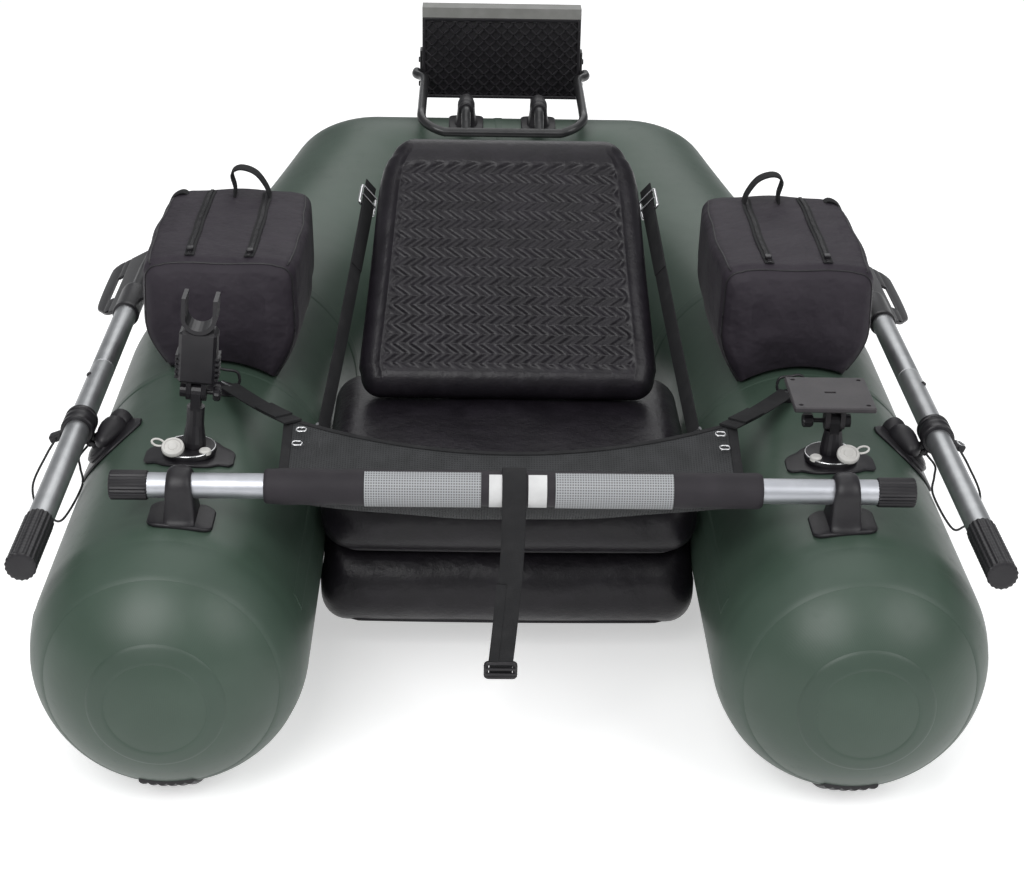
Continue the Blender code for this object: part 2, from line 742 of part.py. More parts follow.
def make_apron():
    """The mesh cloth between the bar and the seat, and the two straps that tie its rear corners to the hull."""
    inner = [-NOTCH_HALF - 2 * GAP, -NOTCH_HALF, 0, NOTCH_HALF, NOTCH_HALF + 2 * GAP]
    columns = sorted([APRON_WIDE * share for share in APRON_COLUMN_SHARES] + inner)
    rows = [apron_row(x) for x in columns]
    rings = []
    for row in rows:
        ups = []
        for k, point in enumerate(row):
            along = (row[min(k + 1, 6)] - row[max(k - 1, 0)]).normalized()
            ups.append(Vector((1, 0, 0)).cross(along) * APRON_THICKNESS / 2)
        rings.append([p - up for p, up in zip(row, ups)] + [p + up for p, up in reversed(list(zip(row, ups)))])
    cloth = loft(rings)
    ties = []
    for _, side in SIDES:
        corner = rows[0][-1] if side < 0 else rows[-1][-1]
        end = Vector((side * APRON_TIE[0], APRON_TIE[1], APRON_TIE[2]))
        run = (end - corner).normalized()
        start = corner - Vector((side * APRON_TIE_ROOT, APRON_TIE_ROOT, 0))
        strap_end = end - run * TIE_HOOK_REACH
        route = [start, corner + run * APRON_TIE_ROOT, strap_end]
        wide = Vector((-run.y, run.x, 0)).normalized()
        ties.append(band(route, [wide] * 3, STRAP_WIDTH, STRAP_THICKNESS * 1.4))
        hook_end = end + run * TIE_HOOK_REACH / 4
        ties.append(rod(strap_end - run * TIE_HOOK_REACH / 2, hook_end, TIE_HOOK_WIRE, 10))
    finish(united(cloth, *ties), "apron_mesh", "mesh_cloth", (0, BAR_Y, BAR_Z))


TIE_RING_PAD = 0.022
TIE_RING_HALF = 0.017


def make_apron_ring(name, side):
    """The ring on top of the hull that holds a corner strap of the apron."""
    turn = math.asin((APRON_TIE[0] - SIDE_X) / TUBE_RADIUS)
    place = side_place(side, turn, APRON_TIE[1])
    patch = pad(place, oval(TIE_RING_PAD, TIE_RING_PAD, ROUND_SHARES), PAD_THICKNESS)
    lift = APRON_TIE[2] - AXIS_Z - TUBE_RADIUS + RING_LIFT
    corners = [(-TIE_RING_HALF, 0, 0), (-TIE_RING_HALF, 0, lift), (-TIE_RING_HALF * 0.7, 0, lift + RING_LIFT)]
    mirrored = [(-u, v, h) for u, v, h in reversed(corners)]
    ring = swept([place(*c) for c in corners + mirrored], RING_WIRE, 8)
    finish(united(patch, ring), name, "black_plastic")


# Crotch strap

CROTCH_WIDTH = 0.028
CROTCH_THICKNESS = 0.004
CROTCH_RING = 0.0030
CROTCH_BOTTOM = 0.143
CROTCH_DRIFT = -0.012
CROTCH_BUCKLE = (0.038, 0.009, 0.022)
CROTCH_SLOT = (0.0300, 0.0048)
CROTCH_TAIL = 0.012


def make_crotch_strap():
    """The strap that hangs from the middle of the bar, and the ladder buckle at its foot."""
    inner = SLEEVE_RADIUS + FIT
    outer = inner + CROTCH_RING
    loop = pipe((-CROTCH_WIDTH / 2, BAR_Y, BAR_Z), (CROTCH_WIDTH / 2, BAR_Y, BAR_Z), outer, inner, 24)
    y = BAR_Y - inner - CROTCH_THICKNESS / 2
    route = [(0, y, BAR_Z), (0, y, BAR_Z - 2 * outer), (CROTCH_DRIFT / 2, y, (BAR_Z + CROTCH_BOTTOM) / 2)]
    route += [(CROTCH_DRIFT, y, CROTCH_BOTTOM), (CROTCH_DRIFT, y, CROTCH_BOTTOM - CROTCH_TAIL)]
    strap = band(route, [(1, 0, 0)] * len(route), CROTCH_WIDTH, CROTCH_THICKNESS)
    bore = rod((-CROTCH_WIDTH, BAR_Y, BAR_Z), (CROTCH_WIDTH, BAR_Y, BAR_Z), inner, 24)
    made = cut(united(loop, strap), bore)
    finish(made, "crotch_strap", "webbing", (0, BAR_Y, BAR_Z))
    centre = (CROTCH_DRIFT, y, CROTCH_BOTTOM)
    frame = block(CROTCH_BUCKLE, centre, BUCKLE_BEVEL)
    slot = block((CROTCH_SLOT[0], CROTCH_SLOT[1], 2 * CROTCH_BUCKLE[2]), centre)
    finish(cut(frame, slot), "crotch_buckle", "black_plastic", (0, BAR_Y, BAR_Z))


# Mounting bases and what stands on them

BASE_X = 0.400
BASE_Y = 0.190
BASE_PAD_U = 0.056
BASE_PAD_V = 0.042
BASE_PAD_THICKNESS = 0.0035
BOSS_RADIUS = 0.0335
BOSS_TOP = 0.3455
BOSS_EDGE = 0.003
BOSS_SINK = 0.0012
PLUG_SPOT = (0.0165, -0.0245)
PLUG_RADIUS = 0.0140
PLUG_HEIGHT = 0.0065
PLUG_EDGE = 0.0015
PLUG_TAB = 0.0100
PLUG_TAB_WALL = 0.0030
PLUG_TAB_DIRECTION = (0.93, 0.37)
BUTTON_SPOT = (-0.0215, -0.0165)
BUTTON_RADIUS = 0.0075
BUTTON_HEIGHT = 0.0030
BUTTON_WELL = 0.0060
BUTTON_STEM = 0.0050
POST_SOCKET = 0.0110
POST_FOOT = 0.0145
POST_RADIUS = 0.0110
POST_FOOT_HEIGHT = 0.030
POST_SUNK = 0.004


def make_mount_base(name, side):
    """The bonded base with its round boss; the post stands on it, beside the plug and the release button."""
    turn = math.asin((BASE_X - SIDE_X) / TUBE_RADIUS)
    patch = pad(side_place(side, turn, BASE_Y), oval(BASE_PAD_U, BASE_PAD_V, WING_SHARES), BASE_PAD_THICKNESS)
    low = AXIS_Z + TUBE_RADIUS + BOSS_SINK
    height = BOSS_TOP - low
    rim = BOSS_RADIUS - BOSS_EDGE
    profile = ((0, 0), (BOSS_RADIUS, 0), (BOSS_RADIUS, height - BOSS_EDGE), (rim, height), (0, height))
    boss = turned(profile, (side * BASE_X, BASE_Y, low), (0, 0, 1), 24)
    made = united(patch, boss)
    spot = (side * (BASE_X + BUTTON_SPOT[0]), BASE_Y + BUTTON_SPOT[1])
    well = rod((*spot, BOSS_TOP - BUTTON_WELL), (*spot, BOSS_TOP + BUTTON_WELL), BUTTON_RADIUS + FIT, 14)
    finish(cut(made, well), name, "black_plastic")


def make_plug(name, side):
    """The white plug with its pull ring, lying on the base."""
    centre = Vector((side * (BASE_X + PLUG_SPOT[0]), BASE_Y + PLUG_SPOT[1], BOSS_TOP + GAP))
    rim = PLUG_RADIUS - PLUG_EDGE
    profile = [(0, 0), (rim, 0), (PLUG_RADIUS, PLUG_EDGE), (PLUG_RADIUS, PLUG_HEIGHT - PLUG_EDGE)]
    profile += [(rim, PLUG_HEIGHT), (0, PLUG_HEIGHT)]
    disc = turned(profile, centre, (0, 0, 1), 20)
    out = Vector((side * PLUG_TAB_DIRECTION[0], PLUG_TAB_DIRECTION[1], 0))
    ring_centre = centre + out * (PLUG_RADIUS + PLUG_TAB * 0.7)
    up = Vector((0, 0, PLUG_TAB))
    inner = PLUG_TAB - PLUG_TAB_WALL
    ring = pipe(ring_centre, ring_centre + Vector((0, 0, PLUG_TAB_WALL)), PLUG_TAB, inner, 14)
    hole = rod(ring_centre - up, ring_centre + up, inner, 14)
    finish(cut(united(disc, ring), hole), name, "white_plastic")


def make_button(name, side):
    """The release button that stands out of its well in the base."""
    centre = (side * (BASE_X + BUTTON_SPOT[0]), BASE_Y + BUTTON_SPOT[1], BOSS_TOP)
    profile = (
        (0, -BUTTON_HEIGHT), (BUTTON_RADIUS, -BUTTON_HEIGHT), (BUTTON_RADIUS, BUTTON_HEIGHT - PLUG_EDGE),
        (BUTTON_RADIUS - PLUG_EDGE, BUTTON_HEIGHT), (0, BUTTON_HEIGHT),
    )
    finish(turned(profile, centre, (0, 0, 1), 14), name, "white_plastic", centre)


ROD_X = 0.394
ROD_LEAN = math.radians(5)
TONGUE_WIDTH = 0.012
TONGUE_RADIUS = 0.0115
BOLT_RADIUS = 0.0030
EAR_WIDTH = 0.006
ROD_PIVOT_Z = 0.420
ROD_TONGUE_LOW = 0.400
CRADLE_LOW = 0.4345
CRADLE_HIGH = 0.503
CRADLE_WIDTH = 0.046
CRADLE_DEPTH = 0.032
CRADLE_BEVEL = 0.004
RIB_SIZE = (0.053, 0.026, 0.0035)
RIB_LOW = 0.442
RIB_STEP = 0.0068
RIB_COUNT = 5
YOKE_INNER = 0.0165
YOKE_WALL = 0.0050
YOKE_DEPTH = 0.034
YOKE_Z = 0.522
YOKE_ARM = 0.024
KNOB_RADIUS = 0.0105
KNOB_LENGTH = 0.009
NUT_RADIUS = 0.0085
NUT_LENGTH = 0.007


def post_with_tongue(x, foot_z, tongue_low, pivot_z):
    """A round post with a conical foot and a flat tongue at its head, bored for the pivot bolt."""
    height = tongue_low - foot_z
    profile = [(0, -POST_SUNK), (POST_FOOT, -POST_SUNK), (POST_FOOT, POST_FOOT / 2)]
    profile += [(POST_RADIUS, POST_FOOT_HEIGHT), (POST_RADIUS, height), (0, height)]
    post = turned(profile, (x, BASE_Y, foot_z), (0, 0, 1), 18)
    outline = [(-POST_RADIUS + GAP, tongue_low - POST_RADIUS / 4)]
    for k in range(9):
        bend = math.pi * k / 8
        outline.append((-TONGUE_RADIUS * math.cos(bend), pivot_z + TONGUE_RADIUS * math.sin(bend)))
    outline.append((POST_RADIUS - GAP, tongue_low - POST_RADIUS / 4))
    half = TONGUE_WIDTH / 2
    tongue = extruded(outline, -half, half, lambda y, z, c: (x + c, BASE_Y + y, z))
    reach = POST_RADIUS * 2
    bore = rod((x - reach, BASE_Y, pivot_z), (x + reach, BASE_Y, pivot_z), BOLT_RADIUS + FIT, 12)
    return cut(united(post, tongue), bore)


def flat_foot(post, x, foot_z):
    """The post with what lies below the height of its foot taken off."""
    side = 4 * POST_FOOT
    return cut(post, block((side, side, side), (x, BASE_Y, foot_z - side / 2)))


def ears(x, top, pivot_z):
    """Two ears that hang from a height and end round the pivot, one at each side of the tongue."""
    made = []
    for side in (-1, 1):
        near = side * (TONGUE_WIDTH / 2 + FIT)
        outline = [(TONGUE_RADIUS, top)]
        for k in range(9):
            bend = math.pi * k / 8
            outline.append((TONGUE_RADIUS * math.cos(bend), pivot_z - TONGUE_RADIUS * math.sin(bend)))
        outline.append((-TONGUE_RADIUS, top))
        lie = sorted((near, near + side * EAR_WIDTH))
        made.append(extruded(outline, *lie, lambda y, z, c: (x + c, BASE_Y + y, z)))
    return made


def bolt_knob(x, pivot_z, side, reach, knob_radius, knob_length):
    """The clamp knob with its bolt through ears and tongue and the nut on the far side."""
    near = TONGUE_WIDTH / 2 + FIT + EAR_WIDTH + FIT
    knob_start = near + reach
    nut_start = -near
    bolt_ends = ((x + side * knob_start, BASE_Y, pivot_z), (x + side * nut_start, BASE_Y, pivot_z))
    bolt = rod(*bolt_ends, BOLT_RADIUS, 16)
    profile = (
        (knob_radius - CAP_EDGE, 0, 0), (knob_radius, CAP_EDGE, 1),
        (knob_radius, knob_length - CAP_EDGE, 1), (knob_radius - CAP_EDGE, knob_length, 0),
    )
    knob_base = (x + side * knob_start, BASE_Y, pivot_z)
    knob = ribbed(profile, knob_base, (side, 0, 0), 10, CAP_GROOVE)
    nut_base = (x + side * (nut_start - FIT), BASE_Y, pivot_z)
    nut_profile = ((0, -FIT), (NUT_RADIUS, -FIT), (NUT_RADIUS, NUT_LENGTH), (0, NUT_LENGTH))
    nut = turned(nut_profile, nut_base, (-side, 0, 0), 16)
    return united(bolt, knob, nut)


def make_rod_holder():
    """The rod holder: post, tilting cradle with a U yoke, and its clamp knob."""
    x = -ROD_X
    foot = BOSS_TOP + GAP
    stand = Vector((x, BASE_Y, foot))
    lean = Matrix.Translation(stand) @ Matrix.Rotation(ROD_LEAN, 4, "Y") @ Matrix.Translation(-stand)
    origin = lean @ Vector((x, BASE_Y, ROD_PIVOT_Z))
    post = post_with_tongue(x, foot, ROD_TONGUE_LOW, ROD_PIVOT_Z)
    post.data.transform(lean)
    finish(flat_foot(post, x, foot), "rod_holder_post", "black_plastic", stand)
    middle = (CRADLE_LOW + CRADLE_HIGH) / 2
    body = block((CRADLE_WIDTH, CRADLE_DEPTH, CRADLE_HIGH - CRADLE_LOW), (x, BASE_Y, middle), CRADLE_BEVEL)
    ribs = [block(RIB_SIZE, (x, BASE_Y, RIB_LOW + RIB_STEP * k)) for k in range(RIB_COUNT)]
    outline = []
    outer = YOKE_INNER + YOKE_WALL
    for k in range(13):
        bend = math.pi * k / 12
        outline.append((-outer * math.cos(bend), YOKE_Z - outer * math.sin(bend)))
    outline += [(outer, YOKE_Z + YOKE_ARM), (YOKE_INNER, YOKE_Z + YOKE_ARM)]
    for k in range(13):
        bend = math.pi * k / 12
        outline.append((YOKE_INNER * math.cos(bend), YOKE_Z - YOKE_INNER * math.sin(bend)))
    outline += [(-YOKE_INNER, YOKE_Z + YOKE_ARM), (-outer, YOKE_Z + YOKE_ARM)]
    half = YOKE_DEPTH / 2
    yoke = extruded(outline, -half, half, lambda a, b, c: (x + a, BASE_Y + c, b))
    made = united(body, *ribs, yoke, *ears(x, CRADLE_LOW + CRADLE_BEVEL, ROD_PIVOT_Z))
    bore_ends = ((x - CRADLE_WIDTH, BASE_Y, ROD_PIVOT_Z), (x + CRADLE_WIDTH, BASE_Y, ROD_PIVOT_Z))
    bore = rod(*bore_ends, BOLT_RADIUS + FIT, 12)
    hollow = rod((x, BASE_Y - CRADLE_DEPTH, YOKE_Z), (x, BASE_Y + CRADLE_DEPTH, YOKE_Z), YOKE_INNER, 24)
    cradle = cut(made, bore, hollow)
    cradle.data.transform(lean)
    finish(cradle, "rod_holder_cradle", "black_plastic", origin)
    knob = bolt_knob(x, ROD_PIVOT_Z, 1, CRADLE_BEVEL * 2, KNOB_RADIUS, KNOB_LENGTH)
    knob.data.transform(lean)
    finish(knob, "rod_holder_knob", "black_plastic", origin)


PLATE_PIVOT_Z = 0.3895
PLATE_TONGUE_LOW = 0.3775
PLATE_LOW = 0.4250
PLATE_THICKNESS = 0.007
PLATE_SIZE = (0.100, 0.095)
PLATE_BEVEL = 0.0015
PLATE_X_SHIFT = -0.010
PLATE_Y_SHIFT = -0.011
PLATE_HOLE = 0.0030
PLATE_HOLE_IN = 0.0090
SLOT_SIZE = (0.014, 0.005)
PLATE_KNOB_REACH = 0.014
PLATE_KNOB_RADIUS = 0.009
PLATE_KNOB_LENGTH = 0.013


def make_plate():
    """The instrument plate on its tilting head, the post under it and the clamp knob."""
    x = BASE_X
    foot = BOSS_TOP + GAP
    origin = (x, BASE_Y, PLATE_PIVOT_Z)
    post = post_with_tongue(x, foot, PLATE_TONGUE_LOW, PLATE_PIVOT_Z)
    finish(flat_foot(post, x, foot), "plate_post", "black_plastic", (x, BASE_Y, foot))
    centre = Vector((x + PLATE_X_SHIFT, BASE_Y + PLATE_Y_SHIFT, PLATE_LOW + PLATE_THICKNESS / 2))
    plate = block((*PLATE_SIZE, PLATE_THICKNESS), centre, PLATE_BEVEL)
    made = united(plate, *ears(x, PLATE_LOW + PLATE_THICKNESS / 2, PLATE_PIVOT_Z))
    cutters = [block((*SLOT_SIZE, 2 * PLATE_THICKNESS), centre)]
    low = Vector((0, 0, PLATE_THICKNESS))
    across = PLATE_SIZE[0] / 2 - PLATE_HOLE_IN
    deep = PLATE_SIZE[1] / 2 - PLATE_HOLE_IN
    for a, b in ((-1, -1), (-1, 1), (1, -1), (1, 1)):
        spot = centre + Vector((a * across, b * deep, 0))
        cutters.append(rod(spot - low, spot + low, PLATE_HOLE, 12))
    bore_reach = Vector((POST_FOOT * 3, 0, 0))
    cutters.append(rod(Vector(origin) - bore_reach, Vector(origin) + bore_reach, BOLT_RADIUS + FIT, 12))
    finish(cut(made, *cutters), "finder_plate", "grey_plastic", origin)
    knob = bolt_knob(x, PLATE_PIVOT_Z, -1, PLATE_KNOB_REACH, PLATE_KNOB_RADIUS, PLATE_KNOB_LENGTH)
    finish(knob, "plate_knob", "black_plastic", origin)


# Oars

OAR_X = 0.567
OAR_Z = 0.306
OAR_TURN = math.radians(47)
OARLOCK_Y = 0.316
OARLOCK_PAD_U = 0.060
OARLOCK_PAD_V = 0.044
OARLOCK_RADIUS = 0.029
OARLOCK_HEIGHT = 0.0090
HEAD_RADIUS = 0.0245
HEAD_STEM = 0.0100
HEAD_HEIGHT = 0.0050
EAR_GAP = 0.0065
EAR_THICK = 0.006
EAR_HALF = 0.009
EAR_TOP = 0.0042
SHAFT_RADIUS = 0.016
SHAFT_BORE = 0.0140
SPIGOT_RADIUS = 0.0136
COLLAR_RADIUS = 0.0215
COLLAR_HALF = 0.019
COLLAR_GROOVE = 0.0015
COLLAR_PIVOT_DROP = 0.0265
GRIP_END = -0.070
GRIP_START = 0.042
GRIP_RADIUS = 0.0190
GRIP_WALL = 0.005
HANDLE_END = 0.500
SPIGOT_START = 0.425
BUTTON_Y = 0.455
PIN_RADIUS = 0.0038
PIN_STAND = 0.0025
BLADE_SHAFT_END = 0.735
SOCKET_START = 0.705
SOCKET_END = 0.790
SOCKET_RADIUS = 0.0195
BLADE_TILT = math.radians(28)
BLADE_THICKNESS = 0.004
RIB_RADIUS = 0.0085
RIB_END = 0.965


def oar_frame(side):
    """Directions at the oarlock: out of the hull, along the oar and the third one, round the tube."""
    out = Vector((side * math.sin(OAR_TURN), 0, math.cos(OAR_TURN)))
    along = Vector((0, 1, 0))
    return out, along, out.cross(along)


def oarlock_point(side, height):
    """The point on the oarlock's own axis at this height above the tube."""
    out, _, _ = oar_frame(side)
    return Vector((side * SIDE_X, OARLOCK_Y, AXIS_Z)) + out * (TUBE_RADIUS + height)


def oar_line(y, side):
    """A point on the axis of the stowed oar."""
    height = (OAR_X - SIDE_X) * math.sin(OAR_TURN) + (OAR_Z - AXIS_Z) * math.cos(OAR_TURN) - TUBE_RADIUS
    point = oarlock_point(side, height)
    return Vector((point.x, y, point.z))


def make_oarlock_base(name, side):
    """The bonded patch and ring that carry an oar head."""
    out, _, _ = oar_frame(side)
    outline = oval(OARLOCK_PAD_U, OARLOCK_PAD_V, TEAR_SHARES)
    patch = pad(side_place(side, OAR_TURN, OARLOCK_Y), outline, BASE_PAD_THICKNESS)
    low = oarlock_point(side, BOSS_SINK + GAP)
    height = OARLOCK_HEIGHT - BOSS_SINK - GAP
    rim = OARLOCK_RADIUS - BOSS_EDGE
    profile = ((0, 0), (OARLOCK_RADIUS, 0), (OARLOCK_RADIUS, height - BOSS_EDGE), (rim, height), (0, height))
    boss = turned(profile, low, out, 20)
    bore = rod(low + out * BOSS_SINK * 2, low + out * height * 2, HEAD_STEM + FIT, 18)
    finish(cut(united(patch, boss), bore), name, "black_plastic")


def make_oar_head(name, side):
    """The swivel head: a stem in the base, a domed cap and two ears for the collar."""
    out, along, third = oar_frame(side)
    start = oarlock_point(side, OARLOCK_HEIGHT + GAP)
    stem = OARLOCK_HEIGHT - BOSS_SINK * 4
    profile = [(0, -stem), (HEAD_STEM, -stem), (HEAD_STEM, 0), (HEAD_RADIUS, 0)]
    for k in range(1, 5):
        bend = math.pi / 2 * k / 5
        profile.append((HEAD_RADIUS * math.cos(bend * 0.75), HEAD_HEIGHT * (0.25 + 0.75 * math.sin(bend))))
    profile += [(0, HEAD_HEIGHT)]
    head = turned(profile, start, out, 18)
    pivot = collar_pivot(side)
    pieces = []
    for way in (-1, 1):
        near = way * (EAR_GAP / 2 + FIT)
        lie = sorted((near, near + way * EAR_THICK))
        reach = (pivot - start).dot(out)
        outline = [(-EAR_HALF, HEAD_HEIGHT / 3)]
        for k in range(5):
            bend = math.pi * k / 4
            outline.append((-EAR_TOP * 1.5 * math.cos(bend), reach + EAR_TOP * math.sin(bend)))
        outline.append((EAR_HALF, HEAD_HEIGHT / 3))

        def place(a, b, c, start=start):
            return start + along * a + out * b + third * c

        pieces.append(extruded(outline, *lie, place))
    made = united(head, *pieces)
    bore = rod(pivot - third * HEAD_RADIUS, pivot + third * HEAD_RADIUS, PIN_RADIUS - PIN_STAND / 2 + FIT, 12)
    finish(cut(made, bore), name, "black_plastic", oarlock_point(side, OARLOCK_HEIGHT))


def collar_pivot(side):
    """Where the pin of the collar's lug lies, on the oarlock's axis."""
    out, _, _ = oar_frame(side)
    return oar_line(OARLOCK_Y, side) - out * COLLAR_PIVOT_DROP


CLIP_SIZE = (0.018, 0.016, 0.009)
CLIP_REACH = 0.030
CLIP_AHEAD = 0.012
CLIP_LEAN = math.radians(21)
LUG_HALF = 0.0055
STUD_RADIUS = 0.0040


def make_collar(name, side):
    """The collar round the shaft, with the lug and pin that hang it in the head and the clip for the cord."""
    out, along, third = oar_frame(side)
    centre = oar_line(OARLOCK_Y, side)
    bore_radius = SHAFT_RADIUS + FIT
    half = COLLAR_HALF
    groove = COLLAR_RADIUS - COLLAR_GROOVE
    profile = (
        (bore_radius, -half), (groove, -half), (COLLAR_RADIUS, -half + COLLAR_GROOVE),
        (COLLAR_RADIUS, half - COLLAR_GROOVE), (groove, half), (bore_radius, half),
    )
    collar = turned(profile, centre, along, 18)
    pivot = collar_pivot(side)
    lie = EAR_GAP / 2
    outline = []
    for k in range(7):
        bend = math.pi * k / 6
        outline.append((LUG_HALF * math.cos(bend), -LUG_HALF * 0.62 * math.sin(bend)))
    lug_top = COLLAR_PIVOT_DROP - bore_radius - COLLAR_GROOVE
    outline += [(-LUG_HALF, lug_top), (LUG_HALF, lug_top)]
    lug = extruded(outline, -lie, lie, lambda a, b, c: pivot + along * a + out * b + third * c)
    pin_reach = EAR_GAP / 2 + EAR_THICK + 3 * FIT
    pin = rod(pivot - third * pin_reach, pivot + third * pin_reach, PIN_RADIUS - PIN_STAND / 2, 10)
    stud = rod(pivot + third * pin_reach, pivot + third * (pin_reach + STUD_RADIUS), STUD_RADIUS, 10)
    other = rod(pivot - third * pin_reach, pivot - third * (pin_reach + STUD_RADIUS), STUD_RADIUS, 10)
    clip = clip_centre(side)
    reach = clip_direction(side)
    turn = Matrix((reach, along, reach.cross(along))).transposed().to_4x4()
    knob = block(CLIP_SIZE, clip, BUCKLE_BEVEL, turn)
    made = united(collar, lug, pin, stud, other, knob)
    shaft = rod(centre - along * half * 3, centre + along * half * 3, bore_radius, 18)
    finish(cut(made, shaft), name, "black_plastic", pivot)


def clip_direction(side):
    """Direction from the oar's axis to the cord clip: away from the hull and a little down."""
    return Vector((side * math.cos(CLIP_LEAN), 0, -math.sin(CLIP_LEAN)))


def clip_centre(side):
    """Centre of the cord clip, on the outer side of the collar and a little ahead of its middle."""
    return oar_line(OARLOCK_Y - CLIP_AHEAD, side) + clip_direction(side) * CLIP_REACH


def sign_down(side):
    """The sign that turns the third direction at the oarlock down and away from the hull."""
    _, _, third = oar_frame(side)
    return 1 if third.z < 0 else -1


def make_shafts(word, side):
    """The two halves of one shaft, the spring button that locks them, and the grip."""
    pivot = oar_line(OARLOCK_Y, side)
    handle_start = oar_line(GRIP_END + GRIP_WALL + GAP, side)
    handle = pipe(handle_start, oar_line(HANDLE_END, side), SHAFT_RADIUS, SHAFT_BORE, 18)
    up = Vector((side * math.sin(BUTTON_LEAN), 0, math.cos(BUTTON_LEAN)))
    spot = oar_line(BUTTON_Y, side)
    hole = rod(spot, spot + up * SHAFT_RADIUS * 2, PIN_RADIUS + FIT, 14)
    finish(cut(handle, hole), f"oar_handle_shaft_{word}", "aluminium", pivot)
    start = oar_line(SPIGOT_START, side)
    seam = HANDLE_END + GAP - SPIGOT_START
    far = BLADE_SHAFT_END - SPIGOT_START
    floor = HANDLE_END + SHAFT_RADIUS - SPIGOT_START
    profile = (
        (0, 0), (SPIGOT_RADIUS, 0), (SPIGOT_RADIUS, seam), (SHAFT_RADIUS, seam),
        (SHAFT_RADIUS, far), (SHAFT_BORE, far), (SHAFT_BORE, floor), (0, floor),
    )
    shaft = turned(profile, start, (0, 1, 0), 18)
    well = rod(spot + up * PIN_STAND, spot + up * SHAFT_RADIUS * 2, PIN_RADIUS + FIT, 14)
    finish(cut(shaft, well), f"oar_blade_shaft_{word}", "aluminium", pivot)
    low = PIN_STAND * 3
    high = SHAFT_RADIUS + PIN_STAND
    tip = PIN_RADIUS - COLLAR_GROOVE
    profile = ((0, low), (PIN_RADIUS, low), (PIN_RADIUS, high - COLLAR_GROOVE), (tip, high), (0, high))
    button = turned(profile, spot, up, 14)
    finish(button, f"oar_button_{word}", "black_plastic", spot + up * high)
    grip_end = oar_line(GRIP_END, side)
    length = GRIP_START - GRIP_END
    profile = (
        (GRIP_RADIUS - CAP_EDGE, 0, 0), (GRIP_RADIUS, CAP_EDGE, 1), (GRIP_RADIUS, length - CAP_EDGE, 1),
        (GRIP_RADIUS - CAP_EDGE, length, 0),
    )
    grip = ribbed(profile, grip_end, (0, 1, 0), CAP_RIBS, CAP_GROOVE)
    bore_end = oar_line(GRIP_START + GRIP_WALL, side)
    bore = rod(oar_line(GRIP_END + GRIP_WALL, side), bore_end, SHAFT_RADIUS + FIT, 18)
    finish(cut(grip, bore), f"oar_grip_{word}", "black_rubber", pivot)


BUTTON_LEAN = math.radians(40)
BLADE_LENGTH = 0.245
BLADE_HALF = 0.072
BLADE_START = 0.744
# Length along the blade over its length, inner and outer half widths over the blade's half width
BLADE_SHARES = (
    (0.0, 0.34, 0.34), (0.06, 0.62, 0.60), (0.16, 0.90, 0.80), (0.28, 1.0, 0.95),
    (0.55, 1.0, 1.0), (0.90, 0.98, 1.0), (0.97, 0.93, 0.96), (1.0, 0.80, 0.84),
)
SLOT_SHARES = ((0.30, 0.70, -0.62), (0.30, 0.70, 0.62))
SLOT_WIDTH = 0.010


def make_blade(name, side):
    """The blade with its socket, spine rib and two slots."""
    centre = oar_line(0, side)
    across = Vector((side * math.cos(BLADE_TILT), 0, -math.sin(BLADE_TILT)))
    normal = Vector((side * math.sin(BLADE_TILT), 0, math.cos(BLADE_TILT)))

    def place(a, b, c):
        return centre + Vector((0, b, 0)) + across * a + normal * c

    outline = []
    for share, inner, _ in BLADE_SHARES:
        outline.append((-inner * BLADE_HALF, BLADE_START + share * BLADE_LENGTH))
    for share, _, outer in reversed(BLADE_SHARES):
        outline.append((outer * BLADE_HALF, BLADE_START + share * BLADE_LENGTH))
    plate = extruded(outline, -BLADE_THICKNESS / 2, BLADE_THICKNESS / 2, place)
    socket_end = SOCKET_END - SOCKET_START
    rib_end = RIB_END - SOCKET_START
    profile = (
        (0, 0), (SOCKET_RADIUS, 0), (SOCKET_RADIUS, socket_end), (RIB_RADIUS, socket_end + SOCKET_RADIUS),
        (RIB_RADIUS, rib_end), (BLADE_THICKNESS, rib_end + SOCKET_RADIUS), (0, rib_end + SOCKET_RADIUS),
    )
    spine = turned(profile, oar_line(SOCKET_START, side), (0, 1, 0), 18)
    bore_start = oar_line(SOCKET_START - SOCKET_RADIUS, side)
    bore = rod(bore_start, oar_line(BLADE_SHAFT_END + GAP, side), SHAFT_RADIUS + FIT, 18)
    slots = []
    for low, high, offset in SLOT_SHARES:
        a = offset * BLADE_HALF
        b = BLADE_START + low * BLADE_LENGTH
        d = BLADE_START + high * BLADE_LENGTH
        half = SLOT_WIDTH / 2
        corners = [(a - half, b), (a + half, b), (a + half, d), (a - half, d)]
        slots.append(extruded(corners, -BLADE_THICKNESS, BLADE_THICKNESS, place))
    finish(cut(united(plate, spine), bore, *slots), name, "black_plastic", oar_line(OARLOCK_Y, side))


CORD_RADIUS = 0.0015
CORD_STEPS = 4
# Route of the cord, outward, back and up from the oar's axis beside the collar
CORD_ROUTE = (
    (0.0400, -0.032, -0.030), (0.0582, -0.038, -0.068), (0.0509, -0.058, -0.0915),
    (0.0284, -0.088, -0.0906), (0.0074, -0.108, -0.0816), (-0.0119, -0.072, -0.0530),
    (-0.0045, -0.037, -0.0440), (0.0010, -0.013, -0.0400),
)


